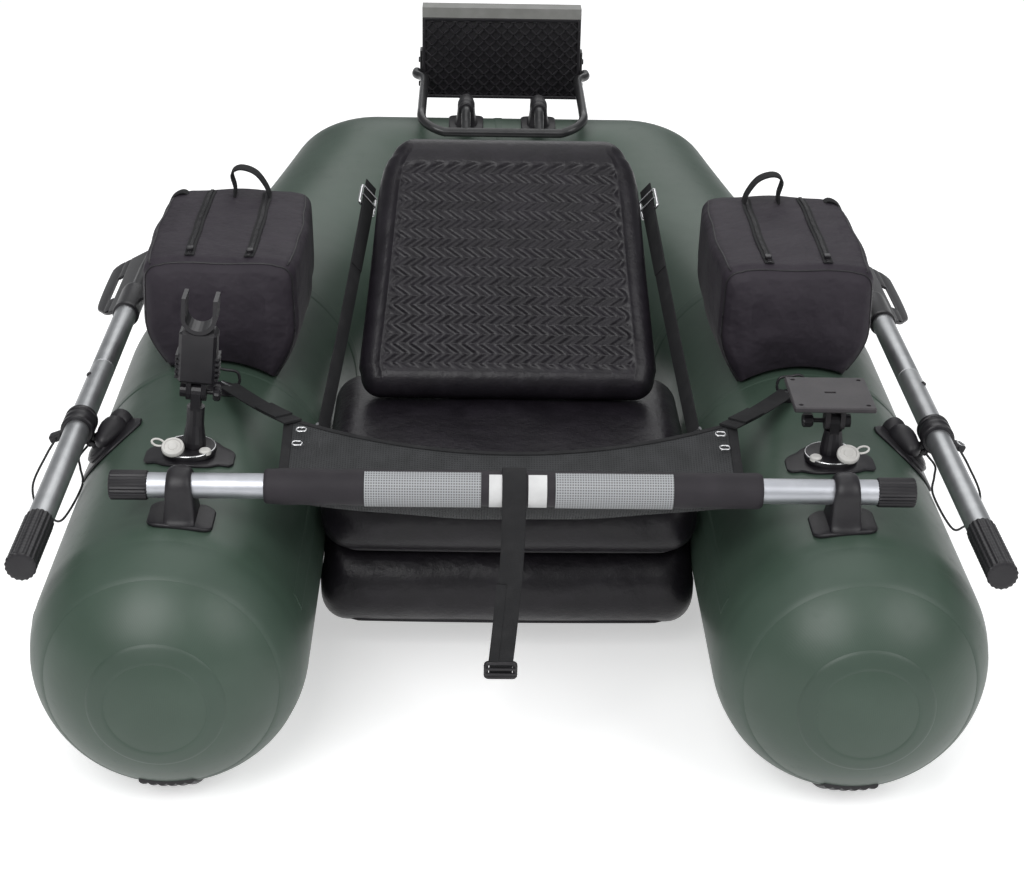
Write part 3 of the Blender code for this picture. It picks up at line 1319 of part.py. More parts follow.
def make_cord(name, side):
    """The thin tether cord that hangs in a bight under the shaft from the clip to the head's stud."""
    out, along, third = oar_frame(side)
    start = clip_centre(side) - along * (CLIP_SIZE[1] / 2 + FIT)
    pivot = collar_pivot(side)
    pin_reach = EAR_GAP / 2 + EAR_THICK + 3 * FIT + STUD_RADIUS
    end = pivot + third * sign_down(side) * (pin_reach + FIT)
    corner = oar_line(OARLOCK_Y, side)
    route = [start - along * CORD_RADIUS * 2]
    route += [corner + Vector((side * a, b, c)) for a, b, c in CORD_ROUTE]
    route.append(end + third * sign_down(side) * CORD_RADIUS * 2)
    points = [start, *smooth_route(route, CORD_STEPS), end]
    data = bpy.data.curves.new(name, "CURVE")
    data.dimensions = "3D"
    data.bevel_depth = CORD_RADIUS
    data.bevel_resolution = 2
    data.use_fill_caps = True
    spline = data.splines.new("POLY")
    spline.points.add(len(points) - 1)
    shift = pivot
    for spot, point in zip(spline.points, points):
        spot.co = (*(point - shift), 1.0)
    data.materials.append(material("cord_black"))
    made = bpy.data.objects.new(name, data)
    made.location = shift - Vector((0, MIDDLE_Y, 0))
    bpy.context.scene.collection.objects.link(made)


# Bags

BAG_X = 0.392
BAG_FRONT = 0.470
BAG_REAR = 0.800
BAG_TOP = 0.480
BAG_HALF = 0.100
BAG_FOOT_SHARE = 0.74
BAG_WAIST_SHARE = 0.45
BAG_BULGE = 0.006
BAG_EDGE = 0.020
BAG_LIFT = 0.0013
HANDLE_THICKNESS = 0.003
HANDLE_RISE = 0.060
HANDLE_SHARES = ((-0.42, 0.0), (-0.34, 0.55), (-0.12, 0.95), (0.18, 1.0), (0.40, 0.6), (0.46, 0.0))
# Distance along the bag over its length, and inset of the section over the edge rounding
BAG_STATION_SHARES = (
    (0.0, 0.75), (0.02, 0.30), (0.07, 0.0), (0.30, -0.25), (0.55, -0.3),
    (0.80, -0.2), (0.94, 0.0), (0.985, 0.35), (1.0, 0.8),
)


def tube_at(y):
    """Centre of the side tube's cross section at this y, and its half width in x."""
    line = half_line(0)
    ys = [point[1] for point in line]
    centre = -np.interp(y, ys, [point[0] for point in line])
    lift = np.interp(y, ys, [rise(v) for v in ys])
    wide = TUBE_RADIUS if y <= STRAIGHT_LENGTH else TUBE_RADIUS / math.cos(QUARTER_TURN)
    return centre, AXIS_Z + lift, wide


def make_bag(name, side):
    """One soft bag that sits on the side tube, with the webbing handle on top."""
    rings = []
    for share, inset_share in BAG_STATION_SHARES:
        y = BAG_FRONT + share * (BAG_REAR - BAG_FRONT)
        inset = inset_share * BAG_EDGE
        centre, middle, wide = tube_at(y)
        half = BAG_HALF - inset
        foot = half * BAG_FOOT_SHARE
        under = []
        for k in range(9):
            x = BAG_X - foot + 2 * foot * k / 8
            reach = abs(x - centre) / (wide + BAG_LIFT)
            z = middle + (TUBE_RADIUS + BAG_LIFT) * math.sqrt(1 - reach**2)
            under.append((x, z + max(inset, 0) * 0.5))
        top = BAG_TOP - max(inset, 0)
        upper = []
        for k in range(7):
            bend = math.pi * k / 6
            x = BAG_X + (half - BAG_EDGE) * math.copysign(min(abs(math.cos(bend)) * 1.8, 1), math.cos(bend))
            x += BAG_EDGE * math.cos(bend)
            crown = BAG_BULGE * math.sin(bend)
            upper.append((x, top - BAG_EDGE + BAG_EDGE * math.sin(bend) ** 0.5 + crown))
        waist = half + BAG_BULGE
        low, high = (under[-1][1] + BAG_EDGE, under[0][1] + BAG_EDGE)
        sides = [(BAG_X + waist - BAG_EDGE / 4, low), (BAG_X + waist, low + BAG_WAIST_SHARE * (top - low))]
        far = [(BAG_X - waist, high + BAG_WAIST_SHARE * (top - high)), (BAG_X - waist + BAG_EDGE / 4, high)]
        rings.append([(side * x, y, z) for x, z in under + sides + upper + far])
    body = loft(rings)
    y = BAG_REAR - 2.2 * BAG_EDGE
    top = BAG_TOP - BAG_EDGE / 2
    route = [(side * (BAG_X + a * BAG_HALF), y, top + b * HANDLE_RISE) for a, b in HANDLE_SHARES]
    handle = band(route, [(0, 1, 0)] * len(route), STRAP_WIDTH, HANDLE_THICKNESS)
    finish(united(body, handle), name, "bag_cloth")


# Valves on the rear face of the hull

VALVE_X = 0.200
VALVE_TURN = math.radians(62)
VALVE_PAD = 0.030
VALVE_RADIUS = 0.022
VALVE_HEIGHT = 0.010


def make_valve(name, side):
    """The air valve of one chamber, with its screw cap."""
    turn = VALVE_TURN
    place = rear_place(side * VALVE_X, turn)
    patch = pad(place, oval(VALVE_PAD, VALVE_PAD, ROUND_SHARES), BASE_PAD_THICKNESS)
    out = Vector((0, math.sin(turn), math.cos(turn)))
    low = Vector(place(0, 0, BOSS_SINK))
    rim = VALVE_RADIUS - BOSS_EDGE
    shoulder = VALVE_HEIGHT - BOSS_EDGE
    profile = ((0, 0), (VALVE_RADIUS, 0), (VALVE_RADIUS, shoulder), (rim, VALVE_HEIGHT), (0, VALVE_HEIGHT))
    finish(united(patch, turned(profile, low, out, 24)), name, "black_plastic")


# Motor mount

MOTOR_TUBE = 0.0078
ARM_X = 0.140
FRONT_RUN_Y = 1.295
FRONT_RUN_Z = 0.4225
FRONT_RUN_HALF = 0.100
ARM_Z = 0.4405
INNER_X = 0.063
HOLDER_HALF = 0.020
HOLDER_FRONT = 1.350
HOLDER_REAR = 1.400
HOLDER_TOP = 0.4620
HOLDER_PAD_U = 0.040
HOLDER_PAD_V = 0.030
HOLDER_TURN = math.radians(-3)
INNER_Z = 0.4475
HOLDER_EDGE = 0.004
BOARD_HALF = 0.145
BOARD_LOW = 0.396
BOARD_HIGH = 0.562
BRACKET = (0.004, 0.030, 0.080)
BRACKET_Z = 0.443
INNER_END_Y = 1.625
CAP_LIP = 0.016
BOARD_BEVEL = 0.002


def make_motor_frame():
    """The bent tube frame with its two inner tubes and the side brackets that hold the board."""
    arm_end = BOARD_FRONT + BOARD_DEPTH / 2
    bracket_x = BOARD_HALF + GAP + BRACKET[0] / 2
    right = [(0, FRONT_RUN_Y, FRONT_RUN_Z), (FRONT_RUN_HALF, FRONT_RUN_Y, FRONT_RUN_Z)]
    bend = ARM_X - FRONT_RUN_HALF
    for k in range(1, 5):
        turn = math.pi / 2 * k / 4
        z = FRONT_RUN_Z + (ARM_Z - FRONT_RUN_Z) * k / 4
        right.append((FRONT_RUN_HALF + bend * math.sin(turn), FRONT_RUN_Y + bend * (1 - math.cos(turn)), z))
    right.append((ARM_X, BOARD_FRONT - BRACKET[1], ARM_Z))
    right.append((bracket_x + MOTOR_TUBE, BOARD_FRONT - GAP, ARM_Z))
    right.append((bracket_x + MOTOR_TUBE, arm_end, ARM_Z))
    left = [(-x, y, z) for x, y, z in reversed(right[1:])]
    frame = swept(left + right, MOTOR_TUBE, 10)
    pieces = []
    for side in (-1, 1):
        foot = (side * INNER_X, FRONT_RUN_Y, FRONT_RUN_Z)
        mid = (side * INNER_X, HOLDER_FRONT - HOLDER_HALF / 2, INNER_Z)
        rear = (side * INNER_X, HOLDER_REAR + HOLDER_HALF / 2, INNER_Z)
        low = BOARD_LOW - MOTOR_TUBE - GAP
        under = (side * INNER_X, BOARD_FRONT - MOTOR_TUBE, low)
        pieces.append(swept([foot, mid, rear, under, (side * INNER_X, INNER_END_Y, low)], MOTOR_TUBE, 10))
        centre = (side * bracket_x, BOARD_FRONT + BOARD_DEPTH / 2, BRACKET_Z)
        pieces.append(block(BRACKET, centre))
    finish(united(frame, *pieces), "motor_frame", "black_metal")


def make_holder(name, side):
    """One rubber holder on its patch; an inner tube of the motor frame passes through it."""
    x = side * INNER_X
    outline = oval(HOLDER_PAD_U, HOLDER_PAD_V, OCTAGON_SHARES)
    patch = pad(rear_place(x, HOLDER_TURN), outline, LOOP_PAD_THICKNESS)
    low = AXIS_Z + REAR_RISE + TUBE_RADIUS + LOOP_SINK
    middle = Vector((x, (HOLDER_FRONT + HOLDER_REAR) / 2, (low + HOLDER_TOP) / 2))
    size = (2 * HOLDER_HALF, HOLDER_REAR - HOLDER_FRONT, HOLDER_TOP - low)
    body = block(size, middle, HOLDER_EDGE)
    bore_start = (x, HOLDER_FRONT - HOLDER_HALF, INNER_Z)
    bore = rod(bore_start, (x, HOLDER_REAR + HOLDER_HALF, INNER_Z), MOTOR_TUBE + FIT, 20)
    finish(cut(united(patch, body), bore), name, "black_rubber")


def make_board():
    """The motor board and the channel that caps its top edge, flush with the board's two faces."""
    middle = BOARD_FRONT + BOARD_DEPTH / 2
    outer = BOARD_DEPTH / 2
    inner = outer - CAP_WALL
    low = BOARD_HIGH - CAP_LIP
    neck = inner - GAP
    shoulder = low - GAP
    foot = outer - BOARD_BEVEL
    lower = BOARD_LOW + BOARD_BEVEL
    outline = [(-foot, BOARD_LOW), (-outer, lower), (-outer, shoulder), (-neck, shoulder), (-neck, BOARD_HIGH)]
    outline += [(neck, BOARD_HIGH), (neck, shoulder), (outer, shoulder), (outer, lower), (foot, BOARD_LOW)]
    board = extruded(outline, -BOARD_HALF, BOARD_HALF, lambda a, b, c: (c, middle + a, b))
    finish(board, "motor_board", "black_plastic")
    roof = BOARD_HIGH + GAP
    top = roof + CAP_WALL
    outline = [(-outer, low), (-outer, top), (outer, top), (outer, low)]
    outline += [(inner, low), (inner, roof), (-inner, roof), (-inner, low)]
    channel = extruded(outline, -BOARD_HALF, BOARD_HALF, lambda a, b, c: (c, middle + a, b))
    finish(channel, "board_cap", "aluminium")


def main():
    clear_scene()
    make_hull()
    make_seat()
    make_backrest()
    make_bar()
    make_apron()
    make_crotch_strap()
    make_rod_holder()
    make_plate()
    make_motor_frame()
    make_board()
    for word, side in SIDES:
        make_strake(f"keel_strake_{word}", side)
        make_back_strap(f"backrest_strap_{word}", side)
        make_strap_ring(f"strap_ring_{word}", side)
        make_loop(f"crossbar_loop_{word}", side)
        make_apron_ring(f"apron_ring_{word}", side)
        make_mount_base(f"mount_base_{word}", side)
        make_plug(f"mount_plug_{word}", side)
        make_button(f"mount_button_{word}", side)
        make_oarlock_base(f"oarlock_base_{word}", side)
        make_oar_head(f"oar_head_{word}", side)
        make_collar(f"oar_collar_{word}", side)
        make_shafts(word, side)
        make_blade(f"oar_blade_{word}", side)
        make_cord(f"tether_cord_{word}", side)
        make_bag(f"bag_{word}", side)
        make_valve(f"valve_{word}", side)
        make_holder(f"motor_holder_{word}", side)


main()
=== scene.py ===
"""Looks of the inflatable float tube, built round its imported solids. Sizes are in metres. Points are written in
the drawing frame of the solids, whose y starts where the front domes begin; put() moves them to the model."""

import math

import bmesh
import bpy
import numpy as np
from mathutils import Matrix


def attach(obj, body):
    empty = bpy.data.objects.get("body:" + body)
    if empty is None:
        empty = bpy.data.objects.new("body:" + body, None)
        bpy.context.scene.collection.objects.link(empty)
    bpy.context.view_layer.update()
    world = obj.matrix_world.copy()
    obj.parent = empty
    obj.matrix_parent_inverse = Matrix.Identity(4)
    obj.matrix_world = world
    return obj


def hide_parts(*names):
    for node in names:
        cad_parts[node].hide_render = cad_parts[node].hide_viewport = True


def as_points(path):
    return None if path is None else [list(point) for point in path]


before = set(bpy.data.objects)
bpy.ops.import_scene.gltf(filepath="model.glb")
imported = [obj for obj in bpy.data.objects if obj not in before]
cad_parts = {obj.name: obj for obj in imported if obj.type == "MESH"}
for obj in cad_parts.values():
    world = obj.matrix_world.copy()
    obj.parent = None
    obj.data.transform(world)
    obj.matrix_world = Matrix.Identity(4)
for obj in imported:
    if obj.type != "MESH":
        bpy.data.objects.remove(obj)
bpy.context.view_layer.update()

# Sizes shared with the solids
MIDDLE_Y = 0.745
TUBE_RADIUS = 0.165
SIDE_X = 0.406
STRAIGHT_LENGTH = 0.75
REAR_X = 0.241
REAR_Y = 1.385
REAR_RISE = 0.080
RISE_START = 0.60
DOME_LENGTH = 0.15
BEND_ROUND = 0.30
CORNER_ROUND = 0.0675
CORNER_SPREAD = 0.0275
STRAKE_THICKNESS = 0.006
GAP = 0.0004
SOLID_SIDES = 28  # Flat sides of the solid tube
AXIS_Z = (TUBE_RADIUS + STRAKE_THICKNESS) * math.cos(math.pi / SOLID_SIDES)
QUARTER_TURN = math.atan2(SIDE_X - REAR_X, REAR_Y - STRAIGHT_LENGTH)
SIDES = (("left", -1), ("right", 1))
ACROSS = np.array((1.0, 0.0, 0.0))
ALONG = np.array((0.0, 1.0, 0.0))
UP = np.array((0.0, 0.0, 1.0))
BEND_POINTS = 14
TIP = 0.0002  # Radius of the tiny face that closes a turned form on its axis
RING_TURN = math.radians(-56)
RING_Y = 0.330
RING_WIRE = 0.0020
TIE_X, TIE_Y, TIE_Z = 0.380, 0.392, 0.3435
HOLDER_X, HOLDER_Z = 0.063, 0.4475
STRAP_WIDTH = 0.025
STRAP_THICK = 0.002

# The camera of the photograph: place, tilt down, turn to the right, roll, and focal length over image width
CAMERA_PLACE = (-0.0548, -2.1433, 1.4478)
CAMERA_TILT = math.radians(24.98)
CAMERA_TURN = math.radians(1.3612)
CAMERA_ROLL = math.radians(1.1871)
FOCAL_SHARE = 2070.98 / 1024


def unit(vector):
    """The vector or vectors with length one."""
    vector = np.asarray(vector, float)
    return vector / np.linalg.norm(vector, axis=-1, keepdims=True)


def lengths(route):
    """Distance along a route to each of its points."""
    return np.concatenate([[0.0], np.linalg.norm(np.diff(route, axis=0), axis=1).cumsum()])


def circle(sides):
    """Cosines and sines of one full turn in equal steps."""
    angle = np.linspace(0, 2 * math.pi, sides, endpoint=False)
    return np.stack([np.cos(angle), np.sin(angle)], axis=1)


def hoop(centre, first, second, sides):
    """Points round a centre, drawn by two arms at right angles."""
    return centre + circle(sides) @ np.array([first, second])


def eased(share):
    """A share kept between 0 and 1 that starts and ends softly: three squares less two cubes."""
    share = np.clip(share, 0, 1)
    return share * share * (3 - 2 * share)


def make_camera():
    """The photograph's camera: forward is tilted down and turned, and right and up are rolled round it."""
    data = bpy.data.cameras.new("camera")
    data.sensor_width = 36.0
    data.lens = data.sensor_width * FOCAL_SHARE
    made = bpy.data.objects.new("camera", data)
    forward = np.array([
        math.sin(CAMERA_TURN) * math.cos(CAMERA_TILT), math.cos(CAMERA_TURN) * math.cos(CAMERA_TILT),
        -math.sin(CAMERA_TILT),
    ])
    right = np.array([math.cos(CAMERA_TURN), -math.sin(CAMERA_TURN), 0.0])
    up = np.cross(right, forward)
    rolled_right = math.cos(CAMERA_ROLL) * right + math.sin(CAMERA_ROLL) * up
    rolled_up = math.cos(CAMERA_ROLL) * up - math.sin(CAMERA_ROLL) * right
    turn = np.eye(4)
    turn[:3, 0] = rolled_right
    turn[:3, 1] = rolled_up
    turn[:3, 2] = -forward
    turn[:3, 3] = CAMERA_PLACE
    turn[1, 3] -= MIDDLE_Y
    made.matrix_world = Matrix(turn.tolist())
    bpy.context.scene.collection.objects.link(made)
    bpy.context.scene.camera = made
    bpy.context.scene.view_settings.view_transform = "Standard"


# Shader maths


class Wire:
    """The output of a shader node; arithmetic on it adds Math nodes."""

    def __init__(self, finish, socket):
        self.finish = finish
        self.socket = socket

    def joined(self, operation, other=0.0, swapped=False):
        """The Math node of this operation on this wire and another wire or number."""
        values = (other, self) if swapped else (self, other)
        return self.finish.node("ShaderNodeMath", {"operation": operation}, dict(enumerate(values)))

    def __add__(self, other):
        return self.joined("ADD", other)

    __radd__ = __add__

    def __sub__(self, other):
        return self.joined("SUBTRACT", other)

    def __rsub__(self, other):
        return self.joined("SUBTRACT", other, True)

    def __mul__(self, other):
        return self.joined("MULTIPLY", other)

    def sine(self):
        return self.joined("SINE")

    def steps(self, low, high):
        """0 below low and 1 above high, with a smooth change between them."""
        settings = {"interpolation_type": "SMOOTHSTEP"}
        return self.finish.node("ShaderNodeMapRange", settings, {0: self, 1: low, 2: high, 3: 0.0, 4: 1.0})


class Finish:
    """One material. Its nodes come from node(), and done() plugs the results into the shader."""

    def __init__(self, name):
        self.material = bpy.data.materials.new(name)
        self.material.use_nodes = True
        self.tree = self.material.node_tree
        self.shader = self.tree.nodes["Principled BSDF"]

    def node(self, kind, settings=None, inputs=None, output=0):
        """Adds a node, sets its settings, then the values or wires of its inputs, and gives one output."""
        made = self.tree.nodes.new(kind)
        for key, value in (settings or {}).items():
            setattr(made, key, value)
        for key, value in (inputs or {}).items():
            self.plug(made.inputs[key], value)
        return Wire(self, made.outputs[output])

    def plug(self, socket, value):
        """Links a wire to the socket, or sets the socket's own value."""
        if isinstance(value, Wire):
            self.tree.links.new(value.socket, socket)
        else:
            socket.default_value = value

    def place(self, scale=(1, 1, 1)):
        """The point on the object in metres, scaled."""
        point = self.node("ShaderNodeTexCoord", output="Object")
        return self.node("ShaderNodeMapping", {}, {0: point, "Scale": scale})

    def axis(self, index, where):
        """One coordinate of a vector wire."""
        return self.node("ShaderNodeSeparateXYZ", {}, {0: where}, index)

    def chart(self, index):
        """One coordinate of the piece's own map, which is in metres along its surface."""
        return self.axis(index, self.node("ShaderNodeTexCoord", output="UV"))

    def net(self, threads, low, high):
        """1 on the crossed threads of a net drawn on the piece's map, 0 in its holes."""
        first, second = (((self.chart(k) * threads).sine() * 0.5 + 0.5).steps(low, high) for k in (0, 1))
        return 1 - (1 - first) * (1 - second)

    def noise(self, scale, detail=3.0, rough=0.55, where=None):
        """Cloudy noise with this many clouds to the metre."""
        inputs = {"Vector": where or self.place(), "Scale": scale, "Detail": detail, "Roughness": rough}
        return self.node("ShaderNodeTexNoise", {}, inputs)

    def cells(self, scale):
        """Distance to the nearest of scattered points, this many to the metre."""
        return self.node("ShaderNodeTexVoronoi", {}, {"Vector": self.place(), "Scale": scale})

    def mix(self, share, first, second):
        """A colour between two colours."""
        inputs = {0: share, 6: (*first, 1.0), 7: (*second, 1.0)}
        return self.node("ShaderNodeMix", {"data_type": "RGBA"}, inputs, 2)

    def bump(self, height, depth, under=None):
        """A normal for a height pattern between 0 and 1 that is this deep, on top of another normal."""
        inputs = {"Height": height, "Distance": depth, "Strength": 1.0}
        if under is not None:
            inputs["Normal"] = under
        return self.node("ShaderNodeBump", {}, inputs)

    def done(self, **sockets):
        """Plugs values into the shader's sockets; underscores stand for spaces."""
        for key, value in sockets.items():
            self.plug(self.shader.inputs[key.replace("_", " ").title().replace("Ior", "IOR")], value)
        return self.material


def coated_cloth(name, colour, shade, roughness):
    """Coated cloth of the air tubes: faint weave, soft clouds of colour, scuffs that are less smooth."""
    finish = Finish(name)
    where = finish.place()
    weave = (finish.axis(0, where) * 2600).sine() * (finish.axis(1, where) * 2600).sine()
    clouds = finish.noise(7.0, 4.0)
    scuffs = finish.noise(60.0, 5.0, 0.7).steps(0.55, 0.75)
    tone = finish.mix(clouds.steps(0.3, 0.7), colour, shade)
    dents = finish.bump(finish.noise(9.0, 2.0), 0.0016)
    normal = finish.bump(weave * 0.5 + 0.5, 0.00004, dents)
    rough = roughness + scuffs * 0.08 + clouds * 0.05
    return finish.done(base_color=tone, roughness=rough, normal=normal, specular_ior_level=0.38)


def grained_vinyl(name, colour, shade, roughness):
    """Leather-like vinyl: pebble grain, broad soft creases and a slight sheen."""
    finish = Finish(name)
    grain = finish.cells(900.0)
    creases = finish.noise(26.0, 4.0, 0.6)
    tone = finish.mix(creases.steps(0.35, 0.7), colour, shade)
    soft = finish.bump(creases, 0.0022)
    normal = finish.bump(grain, 0.00012, soft)
    rough = roughness + grain * 0.12 + creases * 0.06
    return finish.done(base_color=tone, roughness=rough, normal=normal, specular_ior_level=0.28)


def woven_nylon(name, colour, shade, threads, depth, roughness, folds=0.0):
    """Bag cloth: crossed threads, faded patches and soft folds."""
    finish = Finish(name)
    where = finish.place()
    up = finish.axis(2, where)
    across = finish.axis(0, where) + finish.axis(1, where)
    warp = (across * threads).sine()
    weft = (up * threads).sine()
    weave = (warp * weft) * 0.5 + 0.5
    clouds = finish.noise(18.0, 4.0)
    tone = finish.mix(clouds.steps(0.3, 0.75) * 0.8 + weave * 0.2, colour, shade)
    soft = finish.bump(finish.noise(22.0, 3.0), folds) if folds else None
    normal = finish.bump(weave, depth, soft)
    return finish.done(base_color=tone, roughness=roughness, normal=normal, specular_ior_level=0.30)


def ribbed_webbing(name, colour, shade):
    """Strap webbing: fine ribs along the strap and stitches near its edges, drawn on the strap's own map."""
    finish = Finish(name)
    along = finish.chart(0)
    across = finish.chart(1)
    ribs = (across * 3800).sine() * 0.5 + 0.5
    picks = (along * 2600).sine() * 0.5 + 0.5
    worn = finish.noise(40.0, 4.0).steps(0.4, 0.8)
    tone = finish.mix(worn * 0.7 + ribs * 0.3, colour, shade)
    normal = finish.bump(ribs * 0.6 + picks * 0.4, 0.00025)
    return finish.done(base_color=tone, roughness=0.78, normal=normal, specular_ior_level=0.25)


def moulded(name, colour, shade, roughness, grain=0.00010, scale=700.0, coat=0.0):
    """Moulded plastic or rubber: a fine pitted skin, slight flow clouds and rubbed spots."""
    finish = Finish(name)
    pits = finish.noise(scale, 2.0)
    clouds = finish.noise(35.0, 4.0)
    rubbed = finish.noise(120.0, 5.0, 0.7).steps(0.55, 0.8)
    tone = finish.mix(clouds.steps(0.3, 0.75), colour, shade)
    rough = roughness + pits * 0.10 - rubbed * 0.06
    return finish.done(base_color=tone, roughness=rough, normal=finish.bump(pits, grain), coat_weight=coat,
                       specular_ior_level=0.36)


def drawn_metal(name, colour, shade, roughness, stretch):
    """Drawn tube: fine lines along the axis whose stretch is least, and faint smudges."""
    finish = Finish(name)
    lines = finish.noise(1.0, 3.0, 0.6, finish.place(stretch))
    smudges = finish.noise(30.0, 4.0)
    tone = finish.mix(smudges.steps(0.35, 0.7), colour, shade)
    rough = roughness + lines * 0.12 + smudges * 0.06
    return finish.done(base_color=tone, metallic=1.0, roughness=rough, normal=finish.bump(lines, 0.00006))


def open_mesh(name, colour, shade, threads):
    """Net cloth: square holes between crossed threads on the piece's own map, dense enough to look dark grey."""
    finish = Finish(name)
    net = finish.net(threads, 0.30, 0.60)
    folds = finish.noise(30.0, 3.0)
    tone = finish.mix(folds.steps(0.3, 0.7), colour, shade)
    normal = finish.bump(net, 0.0002, finish.bump(folds, 0.0012))
    return finish.done(base_color=tone, roughness=0.75, normal=normal, alpha=net * 0.30 + 0.70)


def checked(name, colour, shade):
    """Reflective cloth of the sleeve's patches: a fine grey grid on its own map."""
    finish = Finish(name)
    grid = finish.net(2100, 0.55, 0.8)
    worn = finish.noise(50.0, 4.0)
    tone = finish.mix(grid, colour, shade)
    return finish.done(base_color=tone, roughness=0.45 + worn * 0.15, normal=finish.bump(grid, 0.0001))


# Forms: each is a pair of arrays, points and faces, and may carry a map of the surface in metres


def grid_form(points, close_u=False, close_v=False, caps=False, chart=None):
    """A sheet of quads through a grid of points, rows by columns, closed round either way; caps fill the two end
    rows of a form closed round its columns. The chart is the grid's own map."""
    points = np.asarray(points, float)
    rows, columns = points.shape[:2]
    index = np.arange(rows * columns).reshape(rows, columns)
    if close_u:
        index = np.vstack([index, index[:1]])
    if close_v:
        index = np.hstack([index, index[:, :1]])
    quads = np.stack([index[:-1, :-1], index[:-1, 1:], index[1:, 1:], index[1:, :-1]], axis=-1).reshape(-1, 4)
    faces = quads.tolist()
    if caps:
        faces.append(index[0, :columns][::-1].tolist())
        faces.append(index[-1, :columns].tolist())
    if chart is None:
        chart = np.zeros((rows, columns, 2))
    return points.reshape(-1, 3), faces, np.asarray(chart, float).reshape(-1, 2)


def loft(rows, chart=None):
    """A closed solid through rows of points that each go once round it."""
    return grid_form(np.array(rows), close_v=True, caps=True, chart=chart)


def joined(forms):
    """Several forms as one."""
    points, faces, charts, base = [], [], [], 0
    for form_points, form_faces, form_chart in forms:
        points.append(form_points)
        charts.append(form_chart)
        faces.extend([[base + i for i in face] for face in form_faces])
        base += len(form_points)
    return np.vstack(points), faces, np.vstack(charts)


def route_frames(route, up, closed):
    """A side and a top direction at each point of a route, the top kept near up."""
    steps = np.roll(route, -1, 0) - np.roll(route, 1, 0) if closed else np.gradient(route, axis=0)
    along = unit(steps)
    side = np.cross(along, np.broadcast_to(np.asarray(up, float), along.shape))
    weak = np.linalg.norm(side, axis=1) < 0.02
    side[weak] = np.cross(along[weak], (0.3, 0.9, 0.2))
    side = unit(side)
    return side, np.cross(side, along)


def carried(route, section, up=UP, closed=False):
    """A closed section, given as side and top distances, carried along a route."""
    route = np.asarray(route, float)
    side, top = route_frames(route, up, closed)
    points = route[:, None] + (side[:, None] * section[None, :, :1] + top[:, None] * section[None, :, 1:])
    edge = np.linalg.norm(section - np.roll(section, 1, 0), axis=1).cumsum()
    chart = np.stack(np.meshgrid(lengths(route), edge, indexing="ij"), axis=-1)
    return grid_form(points, close_u=closed, close_v=True, caps=not closed, chart=chart)


def band_section(width, thickness, steps=4):
    """A flat band's section with round edges."""
    half = thickness / 2
    angle = np.linspace(-math.pi / 2, math.pi / 2, steps + 1)
    right = np.stack([width / 2 - half + half * np.cos(angle), half * np.sin(angle)], axis=1)
    return np.vstack([right, -right])


def tube_form(route, radius, sides=18, closed=False):
    """A round tube along a route."""
    return carried(route, radius * circle(sides), closed=closed)


def strap_form(route, width, thickness, normal=UP):
    """A flat strap along a route whose flat side faces the normal."""
    return carried(route, band_section(width, thickness), up=normal)


def turned(profile, base, axis, sides=40, flutes=0, depth=0.0):
    """A profile of (radius, height) pairs turned round an axis through base, closed at both ends. Flutes cut the
    radius by up to depth of itself, as a cosine of the angle times their number."""
    profile = np.asarray(profile, float)
    axis = unit(axis)
    first = unit(np.cross(axis, (0.13, 0.97, 0.2) if abs(axis[1]) < 0.8 else (0.97, 0.1, 0.2)))
    second = np.cross(axis, first)
    angle = np.linspace(0, 2 * math.pi, sides, endpoint=False)
    reach = profile[:, :1] * (1 - depth * (0.5 + 0.5 * np.cos(flutes * angle))[None])
    points = np.asarray(base, float) + profile[:, None, 1:] * axis + reach[..., None] * (
        np.cos(angle)[None, :, None] * first + np.sin(angle)[None, :, None] * second)
    chart = np.stack(np.meshgrid(lengths(profile), angle * profile[:, 0].max(), indexing="ij"), axis=-1)
    return loft(points, chart)


def rounded_profile(radius, low, high, edge, steps=4):
    """The profile of a disc or cylinder with both rims rounded."""
    angle = np.linspace(0, math.pi / 2, steps + 1)
    lower = np.stack([radius - edge + edge * np.sin(angle), low + edge - edge * np.cos(angle)], axis=1)
    upper = np.stack([radius - edge + edge * np.cos(angle), high - edge + edge * np.sin(angle)], axis=1)
    return np.vstack([[[TIP, low]], lower, upper, [[TIP, high]]])


def rounded_outline(half_u, half_v, corner, steps=5):
    """A rectangle with round corners as outline points, counter-clockwise."""
    angle = np.linspace(0, math.pi / 2, steps + 1)
    arc = corner * np.stack([np.cos(angle), np.sin(angle)], axis=1)
    quarter = arc + (half_u - corner, half_v - corner)
    turned_arc = arc @ np.array([[0, 1], [-1, 0]])
    second = turned_arc + (-half_u + corner, half_v - corner)
    return np.vstack([quarter, second, -quarter, -second])


